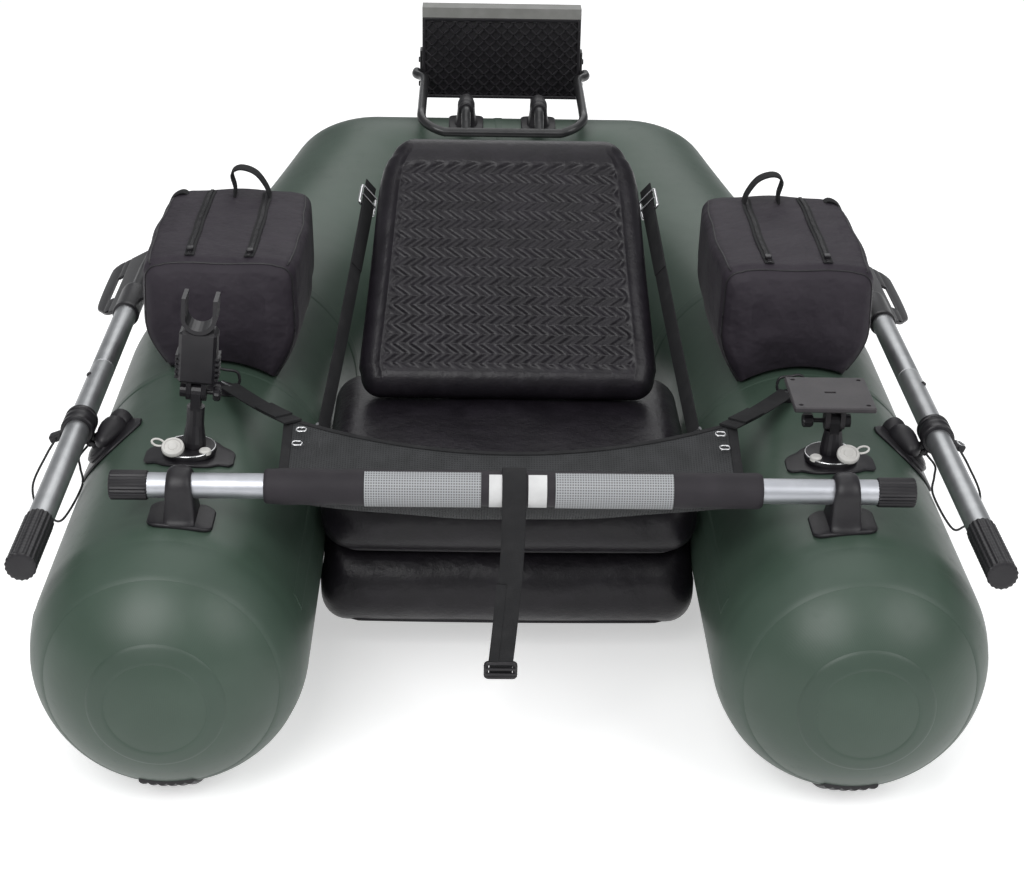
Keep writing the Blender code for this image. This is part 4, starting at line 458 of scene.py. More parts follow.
def slab_form(outline, low, high, place, edge=0.001, steps=3, crown=0.0):
    """A flat piece with this outline between two heights, its rims rounded, drawn by place(u, v, height); its faces
    are rings drawn in towards the middle so that a curved place bends them too."""
    outline = np.asarray(outline, float)
    inward = np.roll(outline, 1, 0) - np.roll(outline, -1, 0)
    inward = unit(np.stack([inward[:, 1], -inward[:, 0]], axis=1))
    centre = outline.mean(axis=0)
    inward *= np.sign(((centre - outline) * inward).sum(axis=1, keepdims=True) + 1e-12)
    angle = np.linspace(0, math.pi / 2, steps + 1)
    rings = [(outline + inward * edge * (1 - math.sin(a)), low + edge * (1 - math.cos(a))) for a in angle]
    rings += [(outline + inward * edge * (1 - math.cos(a)), high - edge * (1 - math.sin(a))) for a in angle]
    shares = (0.75, 0.45, 0.15, 0.005)
    bottom_edge, top_edge = rings[0][0], rings[-1][0]
    lower = [(centre + (bottom_edge - centre) * s, low) for s in shares[::-1]]
    upper = [(centre + (top_edge - centre) * s, high + crown * (1 - s * s)) for s in shares]
    rows = lower + rings + upper
    points = [place(flat[:, 0], flat[:, 1], np.full(len(flat), height)) for flat, height in rows]
    return loft(points, np.stack([flat for flat, _ in rows]))


def flat_place(centre, across, forward):
    """A place function for a flat piece: u goes across, v forward and height out of both."""
    centre = np.asarray(centre, float)
    across = unit(across)
    forward = unit(forward)
    out = np.cross(across, forward)

    def place(u, v, height):
        u, v, height = np.broadcast_arrays(u, v, height)
        return centre + u[..., None] * across + v[..., None] * forward + height[..., None] * out

    return place


def box_form(centre, size, across=(1, 0, 0), forward=(0, 1, 0), edge=0.0008):
    """A box with rounded edges."""
    corner = min(size[0], size[1]) * 0.18
    outline = rounded_outline(size[0] / 2, size[1] / 2, max(corner, edge * 1.5))
    return slab_form(outline, -size[2] / 2, size[2] / 2, flat_place(centre, across, forward), edge)


def smooth_route(points, steps=8, closed=False):
    """A smooth curve through points, Catmull-Rom."""
    points = np.asarray(points, float)
    if closed:
        padded = np.vstack([points[-1], points, points[:2]])
    else:
        padded = np.vstack([2 * points[0] - points[1], points, 2 * points[-1] - points[-2]])
    t = np.linspace(0, 1, steps, endpoint=False)[None, :, None]
    a, b, c, d = (padded[i:len(padded) - 3 + i][:, None] for i in range(4))
    curve = 0.5 * (2 * b + (c - a) * t + (2 * a - 5 * b + 4 * c - d) * t**2 + (3 * b - a - 3 * c + d) * t**3)
    curve = curve.reshape(-1, points.shape[1])
    return curve if closed else np.vstack([curve, points[-1]])


def put(name, forms, body, material, replaces=(), smooth=40):
    """Makes a finished piece of some forms in one material, carried by a body, in place of its solids."""
    points, faces, chart = joined(forms if isinstance(forms, list) else [forms])
    mesh = bpy.data.meshes.new(name)
    mesh.from_pydata((points - (0, MIDDLE_Y, 0)).tolist(), [], faces)
    layer = mesh.uv_layers.new(name="chart")
    corners = np.empty(len(mesh.loops), np.int32)
    mesh.loops.foreach_get("vertex_index", corners)
    layer.data.foreach_set("uv", chart[corners].ravel())
    made = bpy.data.objects.new(name, mesh)
    bpy.context.scene.collection.objects.link(made)
    work = bmesh.new()
    work.from_mesh(mesh)
    bmesh.ops.remove_doubles(work, verts=work.verts, dist=1e-6)
    bmesh.ops.recalc_face_normals(work, faces=work.faces)
    limit = math.radians(smooth)
    for edge in work.edges:
        edge.smooth = len(edge.link_faces) == 2 and edge.calc_face_angle(0.0) < limit
    for face in work.faces:
        face.smooth = True
    work.to_mesh(mesh)
    work.free()
    mesh.materials.append(material)
    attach(made, body)
    if replaces:
        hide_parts(*replaces)
    return made


def dressed(material, *nodes):
    """Gives solids that already have the right shape a better material."""
    for node in nodes:
        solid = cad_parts[node]
        for slot in solid.material_slots:
            slot.material = material


# Places on the air tubes


def tube_height(y):
    """Height of the tube's centreline: it rises with the square of the distance past the start of the rise."""
    return AXIS_Z + REAR_RISE * np.clip((y - RISE_START) / (REAR_Y - RISE_START), 0, 1)**2


def side_place(side, turn, y):
    """A place function on a side tube: u runs round the tube outward, v rearward, height off the skin."""

    def place(u, v, height):
        reach = TUBE_RADIUS + GAP + height
        angle = turn + u / TUBE_RADIUS
        return np.stack([side * (SIDE_X + reach * np.sin(angle)), y + v + 0 * u,
                         tube_height(y + v) + reach * np.cos(angle)], axis=-1)

    return place


def rear_place(x, turn):
    """A place function on the rear tube: u runs round it rearward, v to the right."""

    def place(u, v, height):
        reach = TUBE_RADIUS + GAP + height
        angle = turn + u / TUBE_RADIUS
        return np.stack([x + v + 0 * u, REAR_Y + reach * np.sin(angle),
                         AXIS_Z + REAR_RISE + reach * np.cos(angle)], axis=-1)

    return place


def outward(turn):
    """Direction out of the left half of the centreline after this much turning."""
    return np.stack([-np.cos(turn), np.sin(turn)], axis=-1)


def bend(corner, turns, offset, radius):
    """Points of a rounded corner of the centreline, moved outward by an offset."""
    first, last = outward(turns[0]), outward(turns[1])
    tip = np.asarray(corner) + offset * (first + last) / (1 + first @ last)
    reach = radius * math.tan((turns[1] - turns[0]) / 2)
    start = tip - reach * np.array([first[1], -first[0]])
    middle = start - radius * first
    return middle + radius * outward(np.linspace(turns[0], turns[1], BEND_POINTS))


def half_line(offset):
    """The left half of the hull's line, moved outward: straight side, bend inward, rear corner, middle."""
    front = np.stack([np.full(12, -SIDE_X - offset), np.linspace(0, STRAIGHT_LENGTH * 0.62, 12)], axis=1)
    first = bend((-SIDE_X, STRAIGHT_LENGTH), (0, QUARTER_TURN), offset, BEND_ROUND)
    radius = CORNER_ROUND + offset / TUBE_RADIUS * CORNER_SPREAD
    second = bend((-REAR_X, REAR_Y), (QUARTER_TURN, math.pi / 2), offset, radius)
    share = np.linspace(0, 1, 16)[1:-1, None]
    middle = first[-1] + (second[0] - first[-1]) * share
    ahead = np.stack([np.linspace(second[-1][0], 0, 8)[1:], np.full(7, second[-1][1])], axis=1)
    return np.vstack([front, first, middle, second, ahead])


# Air tubes

SKIN_SIDES = 96
SKIN_ANGLE = 2 * math.pi * (np.arange(SKIN_SIDES) + 0.5) / SKIN_SIDES
TAPE_WIDTH = 0.024
TAPE_THICKNESS = 0.0009
STRAKE_POINTS = 49
STRAKE_WIDTH = 2.2  # In flat sides of the solid tube
STRAKE_END = 1.0
STRAKE_STEP = 0.020
STRAKE_TURN = math.radians(38)


def skin_rows(runs, lifts):
    """Rows of the left half of the hull's skin at these distances along its centreline, moved off by the lifts.
    Each row is a circle of the tube's radius, taken from the two nearest rows of the bent tube."""
    line = half_line(0)
    run = lengths(line)
    rows = []
    for at, lift in zip(runs, lifts):
        radius = TUBE_RADIUS + lift
        lines = np.stack([half_line(radius * c) for c in np.cos(SKIN_ANGLE)])
        flat = np.stack([[np.interp(at, run, one[:, k]) for one in lines] for k in (0, 1)], axis=-1)
        middle = np.interp(at, run, line[:, 1])
        rows.append(np.column_stack([flat, tube_height(middle) + radius * np.sin(SKIN_ANGLE)]))
    return np.array(rows)


def run_at(index):
    """Distance along the centreline to one of its points."""
    return lengths(half_line(0)[:index + 1])[-1]


def dome_rows(side, shares, lifts, across, up):
    """Rows of points round a dome where its skin has these shares of the tube's radius. The distance ahead of its
    foot is a quarter ellipse: the root of one less the share's square."""
    radius = (TUBE_RADIUS + lifts) * shares
    ahead = (DOME_LENGTH + lifts) * np.sqrt(1 - shares**2)
    x = side * SIDE_X + radius[:, None] * across
    z = AXIS_Z + radius[:, None] * up
    return np.stack([x, np.broadcast_to(-ahead[:, None], x.shape), z], axis=-1)


def make_hull(cloth, tape):
    """The U of the air tube. Rows of circles run round the left half of its line, mirrored for the right, and
    shrink to a point over the two domes as a quarter ellipse."""
    count = len(half_line(0))
    left = skin_rows([run_at(k) for k in range(count)], np.zeros(count))
    shares = np.sin(np.linspace(0.02, math.pi / 2, 26))[:-1]
    half = np.concatenate([dome_rows(-1, shares, 0.0, -np.cos(SKIN_ANGLE), np.sin(SKIN_ANGLE)), left])
    put("hull_skin", loft(np.concatenate([half, half[-2::-1] * (-1, 1, 1)])), "hull_body", cloth, ["hull"])
    forms = []
    for side in (-1, 1):
        forms += [dome_ring(side, share, width) for share, width in ((0.42, 0.020), (0.90, 0.022))]
        forms += [belt(side, at) for at in (run_at(11) + 0.005, run_at(26))]
        forms += [length_tape(side, math.radians(turn), STRAIGHT_LENGTH * 0.6) for turn in (12, 158)]
    forms.append(belt(-1, run_at(count - 1) - 0.001))
    put("hull_tapes", forms, "hull_body", tape)


def lens(width, steps=6):
    """Offsets and heights of a flat tape's closed section: level on top with feathered edges, sunk a little."""
    t = np.linspace(-1, 1, steps * 2 + 1)
    top = np.stack([t * width / 2, TAPE_THICKNESS * (1 - t**8) + 0.00005], axis=1)
    return np.vstack([top, [[width / 2, -0.001], [-width / 2, -0.001]]])


def dome_ring(side, share, width):
    """A tape round the dome where it has this share of the tube's radius."""
    section = lens(width)
    shares = np.clip(share + section[:, 0] / TUBE_RADIUS * 1.1, 0.01, 0.9999)
    rows = dome_rows(side, shares, section[:, 1], *circle(120).T)
    return grid_form(rows, close_u=True, close_v=True)


def belt(side, at):
    """A tape round the tube at this distance along its line."""
    section = lens(TAPE_WIDTH)
    rows = skin_rows(at + section[:, 0], section[:, 1]) * (-side, 1, 1)
    return grid_form(rows, close_u=True, close_v=True)


def length_tape(side, turn, end):
    """A tape along the straight side tube; turn is the angle round the tube from outward to the top."""
    section = lens(TAPE_WIDTH)
    y, across = np.meshgrid(np.linspace(0, end, 40), section[:, 0], indexing="ij")
    angle = turn + across / TUBE_RADIUS
    reach = TUBE_RADIUS + section[:, 1]
    return loft(np.stack([side * (SIDE_X + reach * np.cos(angle)), y, tube_height(y) + reach * np.sin(angle)], axis=-1))


def make_strakes(rubber):
    """The wear strips under the tubes, from up the domes to where the tubes turn in, ribbed lengthwise by the size
    of a sine across them."""
    line = half_line(0)
    run = lengths(line)
    across = np.linspace(-1, 1, STRAKE_POINTS)
    thick = STRAKE_THICKNESS * (0.55 + 0.45 * np.abs(np.sin(across * 3 * math.pi))**0.7)
    angle = -math.pi / 2 + across * STRAKE_WIDTH * math.pi / SOLID_SIDES

    def row(x, y, z, radius):
        """Once round the strip: its ribbed face, then its back on the tube."""
        face, back = (np.column_stack([x + reach * np.cos(angle), np.full(STRAKE_POINTS, y), z + reach * np.sin(angle)])
                      for reach in (radius + thick, radius))
        return np.vstack([face, back[::-1]])

    rows = [row(SIDE_X, -DOME_LENGTH * math.sin(turn), AXIS_Z, TUBE_RADIUS * math.cos(turn))
            for turn in np.linspace(STRAKE_TURN, 0, 20)[:-1]]
    for at in np.arange(0.0, np.interp(STRAKE_END, line[:, 1], run), STRAKE_STEP):
        y = np.interp(at, run, line[:, 1])
        rows.append(row(-np.interp(at, run, line[:, 0]), y, tube_height(y), TUBE_RADIUS))
    rows = np.array(rows)
    rows[..., 2] = np.maximum(rows[..., 2], 0.0)
    for word, side in SIDES:
        put(f"strake_{word}", loft(rows * (side, 1, 1)), "hull_body", rubber, [f"keel_strake_{word}"])


# Seat

SEAT_FRONT = 0.19
SEAT_REAR = 0.60
CUSHION_HALF = 0.0495
CUSHION_BOTTOM = 0.184
BASE_FRONT = 0.220
BASE_REAR = 0.615
BASE_HALF = 0.06375
BASE_BOTTOM = 0.056
SEAT_DRAW = 0.006
FOLD_DEPTH = 0.0016
DIMPLE_DEPTH = 0.0015
TOP_WAVE = 0.0012
PIPING_HALF = 0.236


def room_at(z, gap):
    """Half the width between the side tubes at this height, less a gap."""
    return SIDE_X - np.sqrt(TUBE_RADIUS**2 - np.clip(z - AXIS_Z, -TUBE_RADIUS, TUBE_RADIUS)**2) - gap


def pillow(front, rear, bottom, half, wide, edge, crown):
    """A stuffed block across the hull: a round-ended section carried sideways, drawn in towards both ends and in
    the middle of its front, kept clear of the side tubes. Shallow sine folds fan out from its corners."""
    turn = np.linspace(0, math.pi / 2, 9)
    ends = np.stack([-wide + edge * (1 - np.cos(turn)), edge * (1 - np.sin(turn))], axis=1)
    middle = np.linspace(-(wide - edge), wide - edge, 60)[1:-1]
    x = np.concatenate([ends[:, 0], middle, -ends[::-1, 0]])
    inset = np.concatenate([ends[:, 1], np.zeros(len(middle)), ends[::-1, 1]])
    a = np.linspace(-math.pi / 2, math.pi / 2, 28)
    flat = np.linspace(-0.5, 0.5, 26)[1:-1]
    top_y = (front + rear) / 2 + flat * (rear - front - 2 * half)
    rows = []
    for at, radius in zip(x, half - inset):
        share = 1 - (at / wide)**2
        bulge = SEAT_DRAW * share * np.maximum(np.cos(a), 0)
        fold = FOLD_DEPTH * np.sin(at * 95 + 1.3 * np.sin(a * 2)) * np.cos(a)**2 * (1 - share)
        dimple = DIMPLE_DEPTH * np.sin(at * 31) * np.cos(a)**2
        front_y = front + half - bulge - (radius + fold + dimple) * np.cos(a)
        puff = crown * share * (1 - (2 * flat)**2 / 2)
        top_z = radius + puff + TOP_WAVE * np.sin(at * 40 + flat * 9) * share
        y = np.concatenate([front_y, top_y, rear - half + radius * np.cos(a[::-1]), top_y[::-1]])
        z = np.concatenate([radius * np.sin(a), top_z, radius * np.sin(a[::-1]), np.full(len(flat), -radius)])
        z = z + bottom + half
        rows.append(np.column_stack([np.sign(at) * np.minimum(abs(at), room_at(z, GAP)), y, z]))
    return loft(rows)


def make_seat(vinyl, webbing):
    """The seat block and the cushion on it, with the piping of their seams and the tabs between them."""
    base = put("seat_block", pillow(BASE_FRONT, BASE_REAR, BASE_BOTTOM, BASE_HALF, 0.246, 0.035, 0), "hull_body",
               vinyl, ["seat_base"])
    cushion = put("seat_top", pillow(SEAT_FRONT, SEAT_REAR, CUSHION_BOTTOM, CUSHION_HALF, 0.242, 0.040, 0.006),
                  "hull_body", vinyl, ["seat_cushion"])
    forms = []
    for front, bottom, half, levels in ((SEAT_FRONT, CUSHION_BOTTOM, CUSHION_HALF, (-0.86, 0.80)),
                                        (BASE_FRONT, BASE_BOTTOM, BASE_HALF, (-0.80, 0.86))):
        for level in levels:
            x = np.linspace(-PIPING_HALF, PIPING_HALF, 61)
            inset = 0.030 * np.clip((abs(x) / PIPING_HALF - 0.82) / 0.18, 0, 1)**2
            depth = math.sqrt(1 - level**2)
            y = front + half - SEAT_DRAW * (1 - (x / PIPING_HALF)**2) * depth - (half - inset + 0.0005) * depth
            z = bottom + half + (half - inset) * level
            x = np.sign(x) * np.minimum(abs(x), room_at(z, 0.004))
            forms.append(tube_form(np.column_stack([x, y, z]), 0.0026, 10))
    put("seat_piping", forms, "hull_body", vinyl)
    tabs = []
    for x in (-0.118, 0.108):
        route = smooth_route([(x, 0.262, 0.196), (x, 0.244, 0.188), (x, 0.240, 0.180), (x, 0.252, 0.172)], 4)
        tabs.append(strap_form(route, 0.030, 0.003, (0, -1, 0.4)))
    put("seat_tabs", tabs, "hull_body", webbing)


# Backrest

BACK_HALF = 0.028
BACK_LENGTH = 0.3214
BACK_LEAN = math.radians(39)
BACK_PIVOT_Y = 0.480
BACK_PIVOT_Z = 0.3156
BACK_WIDE = 0.2095
BACK_SHARES = (
    (0.0, 0.965), (0.04, 0.98), (0.22, 0.955), (0.44, 0.925), (0.64, 0.90), (0.80, 0.88), (0.88, 0.865),
    (0.94, 0.845), (0.98, 0.82), (1.0, 0.80),
)
BAND_HEIGHT = 0.0138
STROKE_PITCH = 0.0238
PANEL_RIM = 0.029
BACK_CORNER = 0.038
PANEL_ROUND = 0.020
PANEL_SINK = 0.0036
PATTERN_DEPTH = 0.0028
HOOK_EYE = 0.0095


def back_place(x, along, out):
    """Across, up the pad and out of its front, in the drawing frame."""
    y = BACK_PIVOT_Y + along * math.sin(BACK_LEAN) - out * math.cos(BACK_LEAN)
    z = BACK_PIVOT_Z + along * math.cos(BACK_LEAN) + out * math.sin(BACK_LEAN)
    return np.stack(np.broadcast_arrays(x, y, z), axis=-1)


def back_width(along):
    """Half width of the pad at this length up it."""
    shares = np.array(BACK_SHARES)
    return BACK_WIDE * np.interp(along / BACK_LENGTH, shares[:, 0], shares[:, 1])


def herringbone(x, along):
    """Height from 0 to 1 of the pressed pattern: level bands of slanted bars whose slant turns from band to band.
    In each band the bar's middle moves sideways with the distance up it, and the bar has rounded shoulders."""
    band = np.floor(along / BAND_HEIGHT)
    up = along / BAND_HEIGHT - band
    way = 1 - 2 * np.mod(band, 2)
    phase = x / STROKE_PITCH + way * (up - 0.5) * 0.80
    return eased((np.abs(np.mod(phase, 1) - 0.5) * 2 - 0.10) / 0.80)


def make_backrest(vinyl):
    """The reclined pad: a round-edged slab that narrows upward, fuller in its middle, with a soft swell round its
    front and a sunk panel inside it that has round upper corners and carries the pressed pattern."""
    turn = np.linspace(math.pi / 2, 0, 10)[:-1]
    low = np.stack([-BACK_HALF * np.sin(turn), BACK_HALF * np.cos(turn)], axis=1)
    high = (low * (-1, 1) + (BACK_LENGTH, 0))[::-1]
    rows = []
    for along, half in [*low[low[:, 1] > 0.003], *[(a, BACK_HALF) for a in np.linspace(0, BACK_LENGTH, 250)],
                        *high[high[:, 1] > 0.003]]:
        past = max(along - (BACK_LENGTH + BACK_HALF - BACK_CORNER), 0.0)
        wide = back_width(np.clip(along, 0, BACK_LENGTH)) - BACK_CORNER + math.sqrt(BACK_CORNER**2 - past**2)
        wide -= (BACK_HALF - half) * (along < 0)
        a = np.linspace(-math.pi / 2, math.pi / 2, 14)
        right = np.stack([wide - half + half * np.cos(a), half * np.sin(a)], axis=1)
        x = np.linspace(wide - half, -(wide - half), 262)[1:-1]
        belly = 0.004 * math.sin(math.pi * min(max(along / BACK_LENGTH, 0), 1)) * (1 - (x / wide)**2)
        near_side = back_width(np.clip(along, 0, BACK_LENGTH * 0.8)) - abs(x)
        near_top = BACK_LENGTH + BACK_HALF - along - 0.012
        near = np.minimum(near_side, along + BACK_HALF)
        bound = PANEL_ROUND + PANEL_RIM
        near = PANEL_ROUND - np.hypot(np.maximum(bound - near, 0), max(bound - near_top, 0))
        near = np.where(near < PANEL_ROUND, near + PANEL_RIM, np.minimum(near_side, near_top))
        swell = 0.0012 * np.exp(-((near - 0.026) / 0.014)**2) * min(half / BACK_HALF, 1)**3
        pattern = PATTERN_DEPTH * herringbone(x, along) - PANEL_SINK
        front = np.stack([x, half + belly + swell + eased((near - PANEL_RIM) / 0.010) * pattern], axis=1)
        left = np.stack([-(wide - half) - half * np.cos(a), half * np.sin(a[::-1])], axis=1)
        x_back = np.linspace(-(wide - half), wide - half, 22)[1:-1]
        ring = np.vstack([right, front, left, np.stack([x_back, np.full(20, -half)], axis=1)])
        rows.append(back_place(ring[:, 0], along, ring[:, 1]))
    pad = put("back_pad", loft(rows), "back", vinyl, ["backrest"], smooth=75)


def make_back_straps(webbing, chrome):
    """The side straps of the backrest: webbing from the shoulder to the hook on the hull's ring, with a second
    layer down to a slide buckle."""
    crosspiece = side_place(1, RING_TURN, RING_Y)(*np.array((0.0, 0.0, 0.022)))
    eye = crosspiece - (0, HOOK_EYE + 0.0025 + RING_WIRE + GAP, 0)
    top = np.array((0.200, 0.672, 0.506))
    run = unit(eye - top)
    end = eye - run * (HOOK_EYE + 0.018)
    wide = unit(unit(np.cross(run, ACROSS)) + (0.6, 0, 0))
    wide = unit(wide - run * (wide @ run))
    thick = np.cross(run, wide)
    t = np.linspace(0, 1, 30)[:, None]
    route = (top - run * 0.030) * (1 - t) + end * t + thick * np.sin(t * math.pi) * 0.002
    second = (top + run * 0.006) * (1 - t) + (top + run * 0.12) * t + thick * 0.0028
    wires = (
        ([top + wide * u + run * v for u, v in rounded_outline(0.018, 0.015, 0.004)], 0.0024, 10, True),
        (top + wide * 0.016 * np.linspace(-1, 1, 6)[:, None] + thick * 0.001, 0.002, 10, False),
        (hoop(eye, -HOOK_EYE * run, HOOK_EYE * thick, 28), 0.0023, 12, True),
        ([end - run * 0.010, end, eye - run * HOOK_EYE], 0.0036, 14, False),
        ([end - run * 0.012 + wide * u * 0.014 for u in (-1, 0, 1)], 0.0026, 12, False),
    )
    for word, side in SIDES:
        flip = np.array((side, 1, 1))
        layers = [strap_form(line * flip, STRAP_WIDTH, STRAP_THICK, thick * flip) for line in (route, second)]
        put(f"back_strap_{word}", layers, f"back_strap_{word}", webbing, [f"backrest_strap_{word}"])
        metal = [tube_form(np.array(line) * flip, radius, sides, closed) for line, radius, sides, closed in wires]
        put(f"back_hook_{word}", metal, f"back_strap_{word}", chrome)


# Bar, sleeve, apron and crotch strap

BAR_Y = 0.019
BAR_Z = 0.375
BAR_RADIUS = 0.015
BAR_HALF = 0.465
SLEEVE_RADIUS = 0.021
SLEEVE_HALF = 0.290
PATCH_LIFT = 0.0006
LOOP_X = 0.388
APRON_WIDE = 0.280
CROTCH_BOTTOM = 0.143
CROTCH_DRIFT = -0.012


def bar_patch(x_low, x_high, turn_low, turn_high):
    """A closed curved patch on the sleeve between two places along it and two angles from the front to the top."""
    angle = np.linspace(math.radians(turn_low), math.radians(turn_high), 20)
    x = np.linspace(x_low, x_high, 12)
    arc = np.concatenate([angle, angle[::-1]])
    reach = SLEEVE_RADIUS + np.repeat((PATCH_LIFT + 0.0008, PATCH_LIFT - 0.0006), len(angle))
    grid_x, turn = np.meshgrid(x, arc, indexing="ij")
    rows = np.stack([grid_x, BAR_Y - reach * np.cos(turn), BAR_Z + reach * np.sin(turn)], axis=-1)
    return loft(rows, np.stack([grid_x, turn * SLEEVE_RADIUS], axis=-1))


def make_bar(metal, rubber, cloth, grid_cloth, white):
    """The cross bar with its ribbed caps, its padded sleeve with reflective patches, and the loops on the hull."""
    centre = (0, BAR_Y, BAR_Z)
    profile = rounded_profile(BAR_RADIUS, -BAR_HALF, BAR_HALF, 0.001)
    put("bar", turned(profile, centre, ACROSS, 48), "crossbar", metal, ["crossbar_tube"])
    for word, side in SIDES:
        base = (side * (BAR_HALF + 0.004 + GAP), BAR_Y, BAR_Z)
        cap = turned(rounded_profile(0.0175, 0.0, 0.045, 0.003), base, -side * ACROSS, 96, 24, 0.07)
        put(f"bar_cap_{word}", cap, "crossbar", rubber, [f"crossbar_cap_{word}"])
    x = np.linspace(-SLEEVE_HALF, SLEEVE_HALF, 240)
    edge = np.clip((SLEEVE_HALF - abs(x)) / 0.008, 0, 1)
    soft = 0.0003 * np.sin(x * 160) + 0.0003 * np.sin(x * 73 + 1)
    radius = SLEEVE_RADIUS - 0.0025 * (1 - np.sqrt(1 - (1 - edge)**2)) + soft * edge
    profile = np.vstack([[[0.0155, -SLEEVE_HALF]], np.stack([radius, x], axis=1), [[0.0155, SLEEVE_HALF]]])
    put("sleeve", turned(profile, centre, ACROSS, 48), "crossbar", cloth, ["crossbar_sleeve"])
    patches = [bar_patch(low, high, -62, 82) for low, high in ((-0.1735, -0.0384), (0.0480, 0.1850))]
    put("sleeve_patches", patches, "crossbar", grid_cloth)
    squares = [bar_patch(low, high, -50, 72) for low, high in ((-0.0290, -0.0105), (0.0165, 0.0380))]
    put("sleeve_white", squares, "crossbar", white)
    seam = [(x, BAR_Y + SLEEVE_RADIUS * 0.9, BAR_Z + SLEEVE_RADIUS * 0.45) for x in (-0.288, 0, 0.288)]
    put("sleeve_seam", tube_form(seam, 0.0014, 8), "crossbar", cloth)
    for word, side in SIDES:
        make_loop(word, side, rubber)


def arch_form(centre, way, across, radius, half_top, half_foot, flare, foot):
    """An arch over a tube that runs along way through the centre: round over the tube, walls that widen down to
    the foot, every face rounded from one mouth to the other, and a small lip where it meets its patch."""
    bend_turn = np.linspace(0, math.pi, 41)
    drop = np.linspace(0, 1, 19)[1:]
    lip = 0.0012 * np.exp(-((drop - 0.95) / 0.05)**2)
    rows = []
    for at in np.concatenate([[-1.0], np.sin(np.linspace(-1.35, 1.35, 31)) / math.sin(1.35), [1.0]]):
        round_off = 1 - math.sqrt(max(1 - (abs(at) * 0.985)**2.6, 0))
        reach = radius - (radius * 0.26) * round_off
        wall = reach + (flare - radius) * drop**2.4 + lip
        height = np.concatenate([(foot * drop)[::-1], reach * np.sin(bend_turn), foot * drop])
        aside = np.concatenate([wall[::-1], reach * np.cos(bend_turn), -wall])
        half = half_foot + (half_top - half_foot) * np.clip((height - foot) / (radius - foot), 0, 1)
        rows.append(centre + (at * half)[:, None] * way + aside[:, None] * across + height[:, None] * UP)
    return loft(rows)


def cornered_patch(half_u, half_v):
    """The outline of a patch with cut corners, rounded a little."""
    octagon = np.array([(1, 0.62), (0.93, 0.80), (0.80, 0.93), (0.62, 1), (-0.62, 1), (-0.80, 0.93), (-0.93, 0.80),
                        (-1, 0.62)])
    return np.vstack([octagon, -octagon]) * (half_u, half_v)


def make_loop(word, side, rubber):
    """A rubber loop that the bar passes through, on its patch."""
    place = side_place(side, math.asin((LOOP_X - SIDE_X) / TUBE_RADIUS), BAR_Y)
    foot = AXIS_Z + TUBE_RADIUS + 0.0015 - BAR_Z
    arch = arch_form(np.array((side * LOOP_X, BAR_Y, BAR_Z)), ACROSS, ALONG, 0.0235, 0.0135, 0.0185, 0.031, foot)
    put(f"bar_loop_{word}", [slab_form(cornered_patch(0.038, 0.031), -GAP, 0.0050, place, 0.0022, 4), arch],
        "hull_body", rubber, [f"crossbar_loop_{word}"])


def make_holders(rubber):
    """The two rubber holders of the motor frame, each on its patch on the rear tube."""
    for word, side in SIDES:
        place = rear_place(side * HOLDER_X, math.radians(-3))
        centre = np.array((side * HOLDER_X, 1.375, HOLDER_Z))
        foot = AXIS_Z + REAR_RISE + TUBE_RADIUS + 0.0015 - HOLDER_Z
        forms = [slab_form(cornered_patch(0.040, 0.030), -GAP, 0.0050, place, 0.0022, 4),
                 arch_form(centre, ALONG, ACROSS, 0.0150, 0.0150, 0.0220, 0.020, foot),
                 turned(rounded_profile(0.0128, -0.030, 0.030, 0.0024), centre, ALONG, 40)]
        put(f"holder_{word}", forms, "hull_body", rubber, [f"motor_holder_{word}"])


def apron_point(x, t):
    """The sagging cloth: a quadratic curve rearward from under the sleeve to the rear hem, deepest near the bar,
    whose hem dips and is pulled forward in the middle."""
    share = 1 - (x / APRON_WIDE)**2
    low = SLEEVE_RADIUS + 0.0006
    hem_y = BAR_Y + low * math.sin(math.radians(35))
    hem_z = BAR_Z - low * math.cos(math.radians(35))
    sag_z = 0.306 + (1 - share) * 0.026
    rear_y = 0.236 - 0.040 * share
    rear_z = 0.362 - 0.026 * share
    pull = 2.2 * sag_z - 0.6 * (hem_z + rear_z)
    y = (1 - t)**2 * hem_y + 2 * t * (1 - t) * 0.06875 + t**2 * rear_y
    z = (1 - t)**2 * hem_z + 2 * t * (1 - t) * pull + t**2 * rear_z
    fold = 0.0022 * np.sin(x * 42 + 2 * t) * np.sin(math.pi * t) * t
    return np.stack(np.broadcast_arrays(x, y, z + fold), axis=-1)


def corner_tie(side):
    """A rear corner of the apron, the far end of its strap, and the direction from one to the other."""
    corner = apron_point(np.array(side * APRON_WIDE), np.array(1.0))
    end = np.array((side * TIE_X, TIE_Y, TIE_Z))
    return corner, end, unit(end - corner)


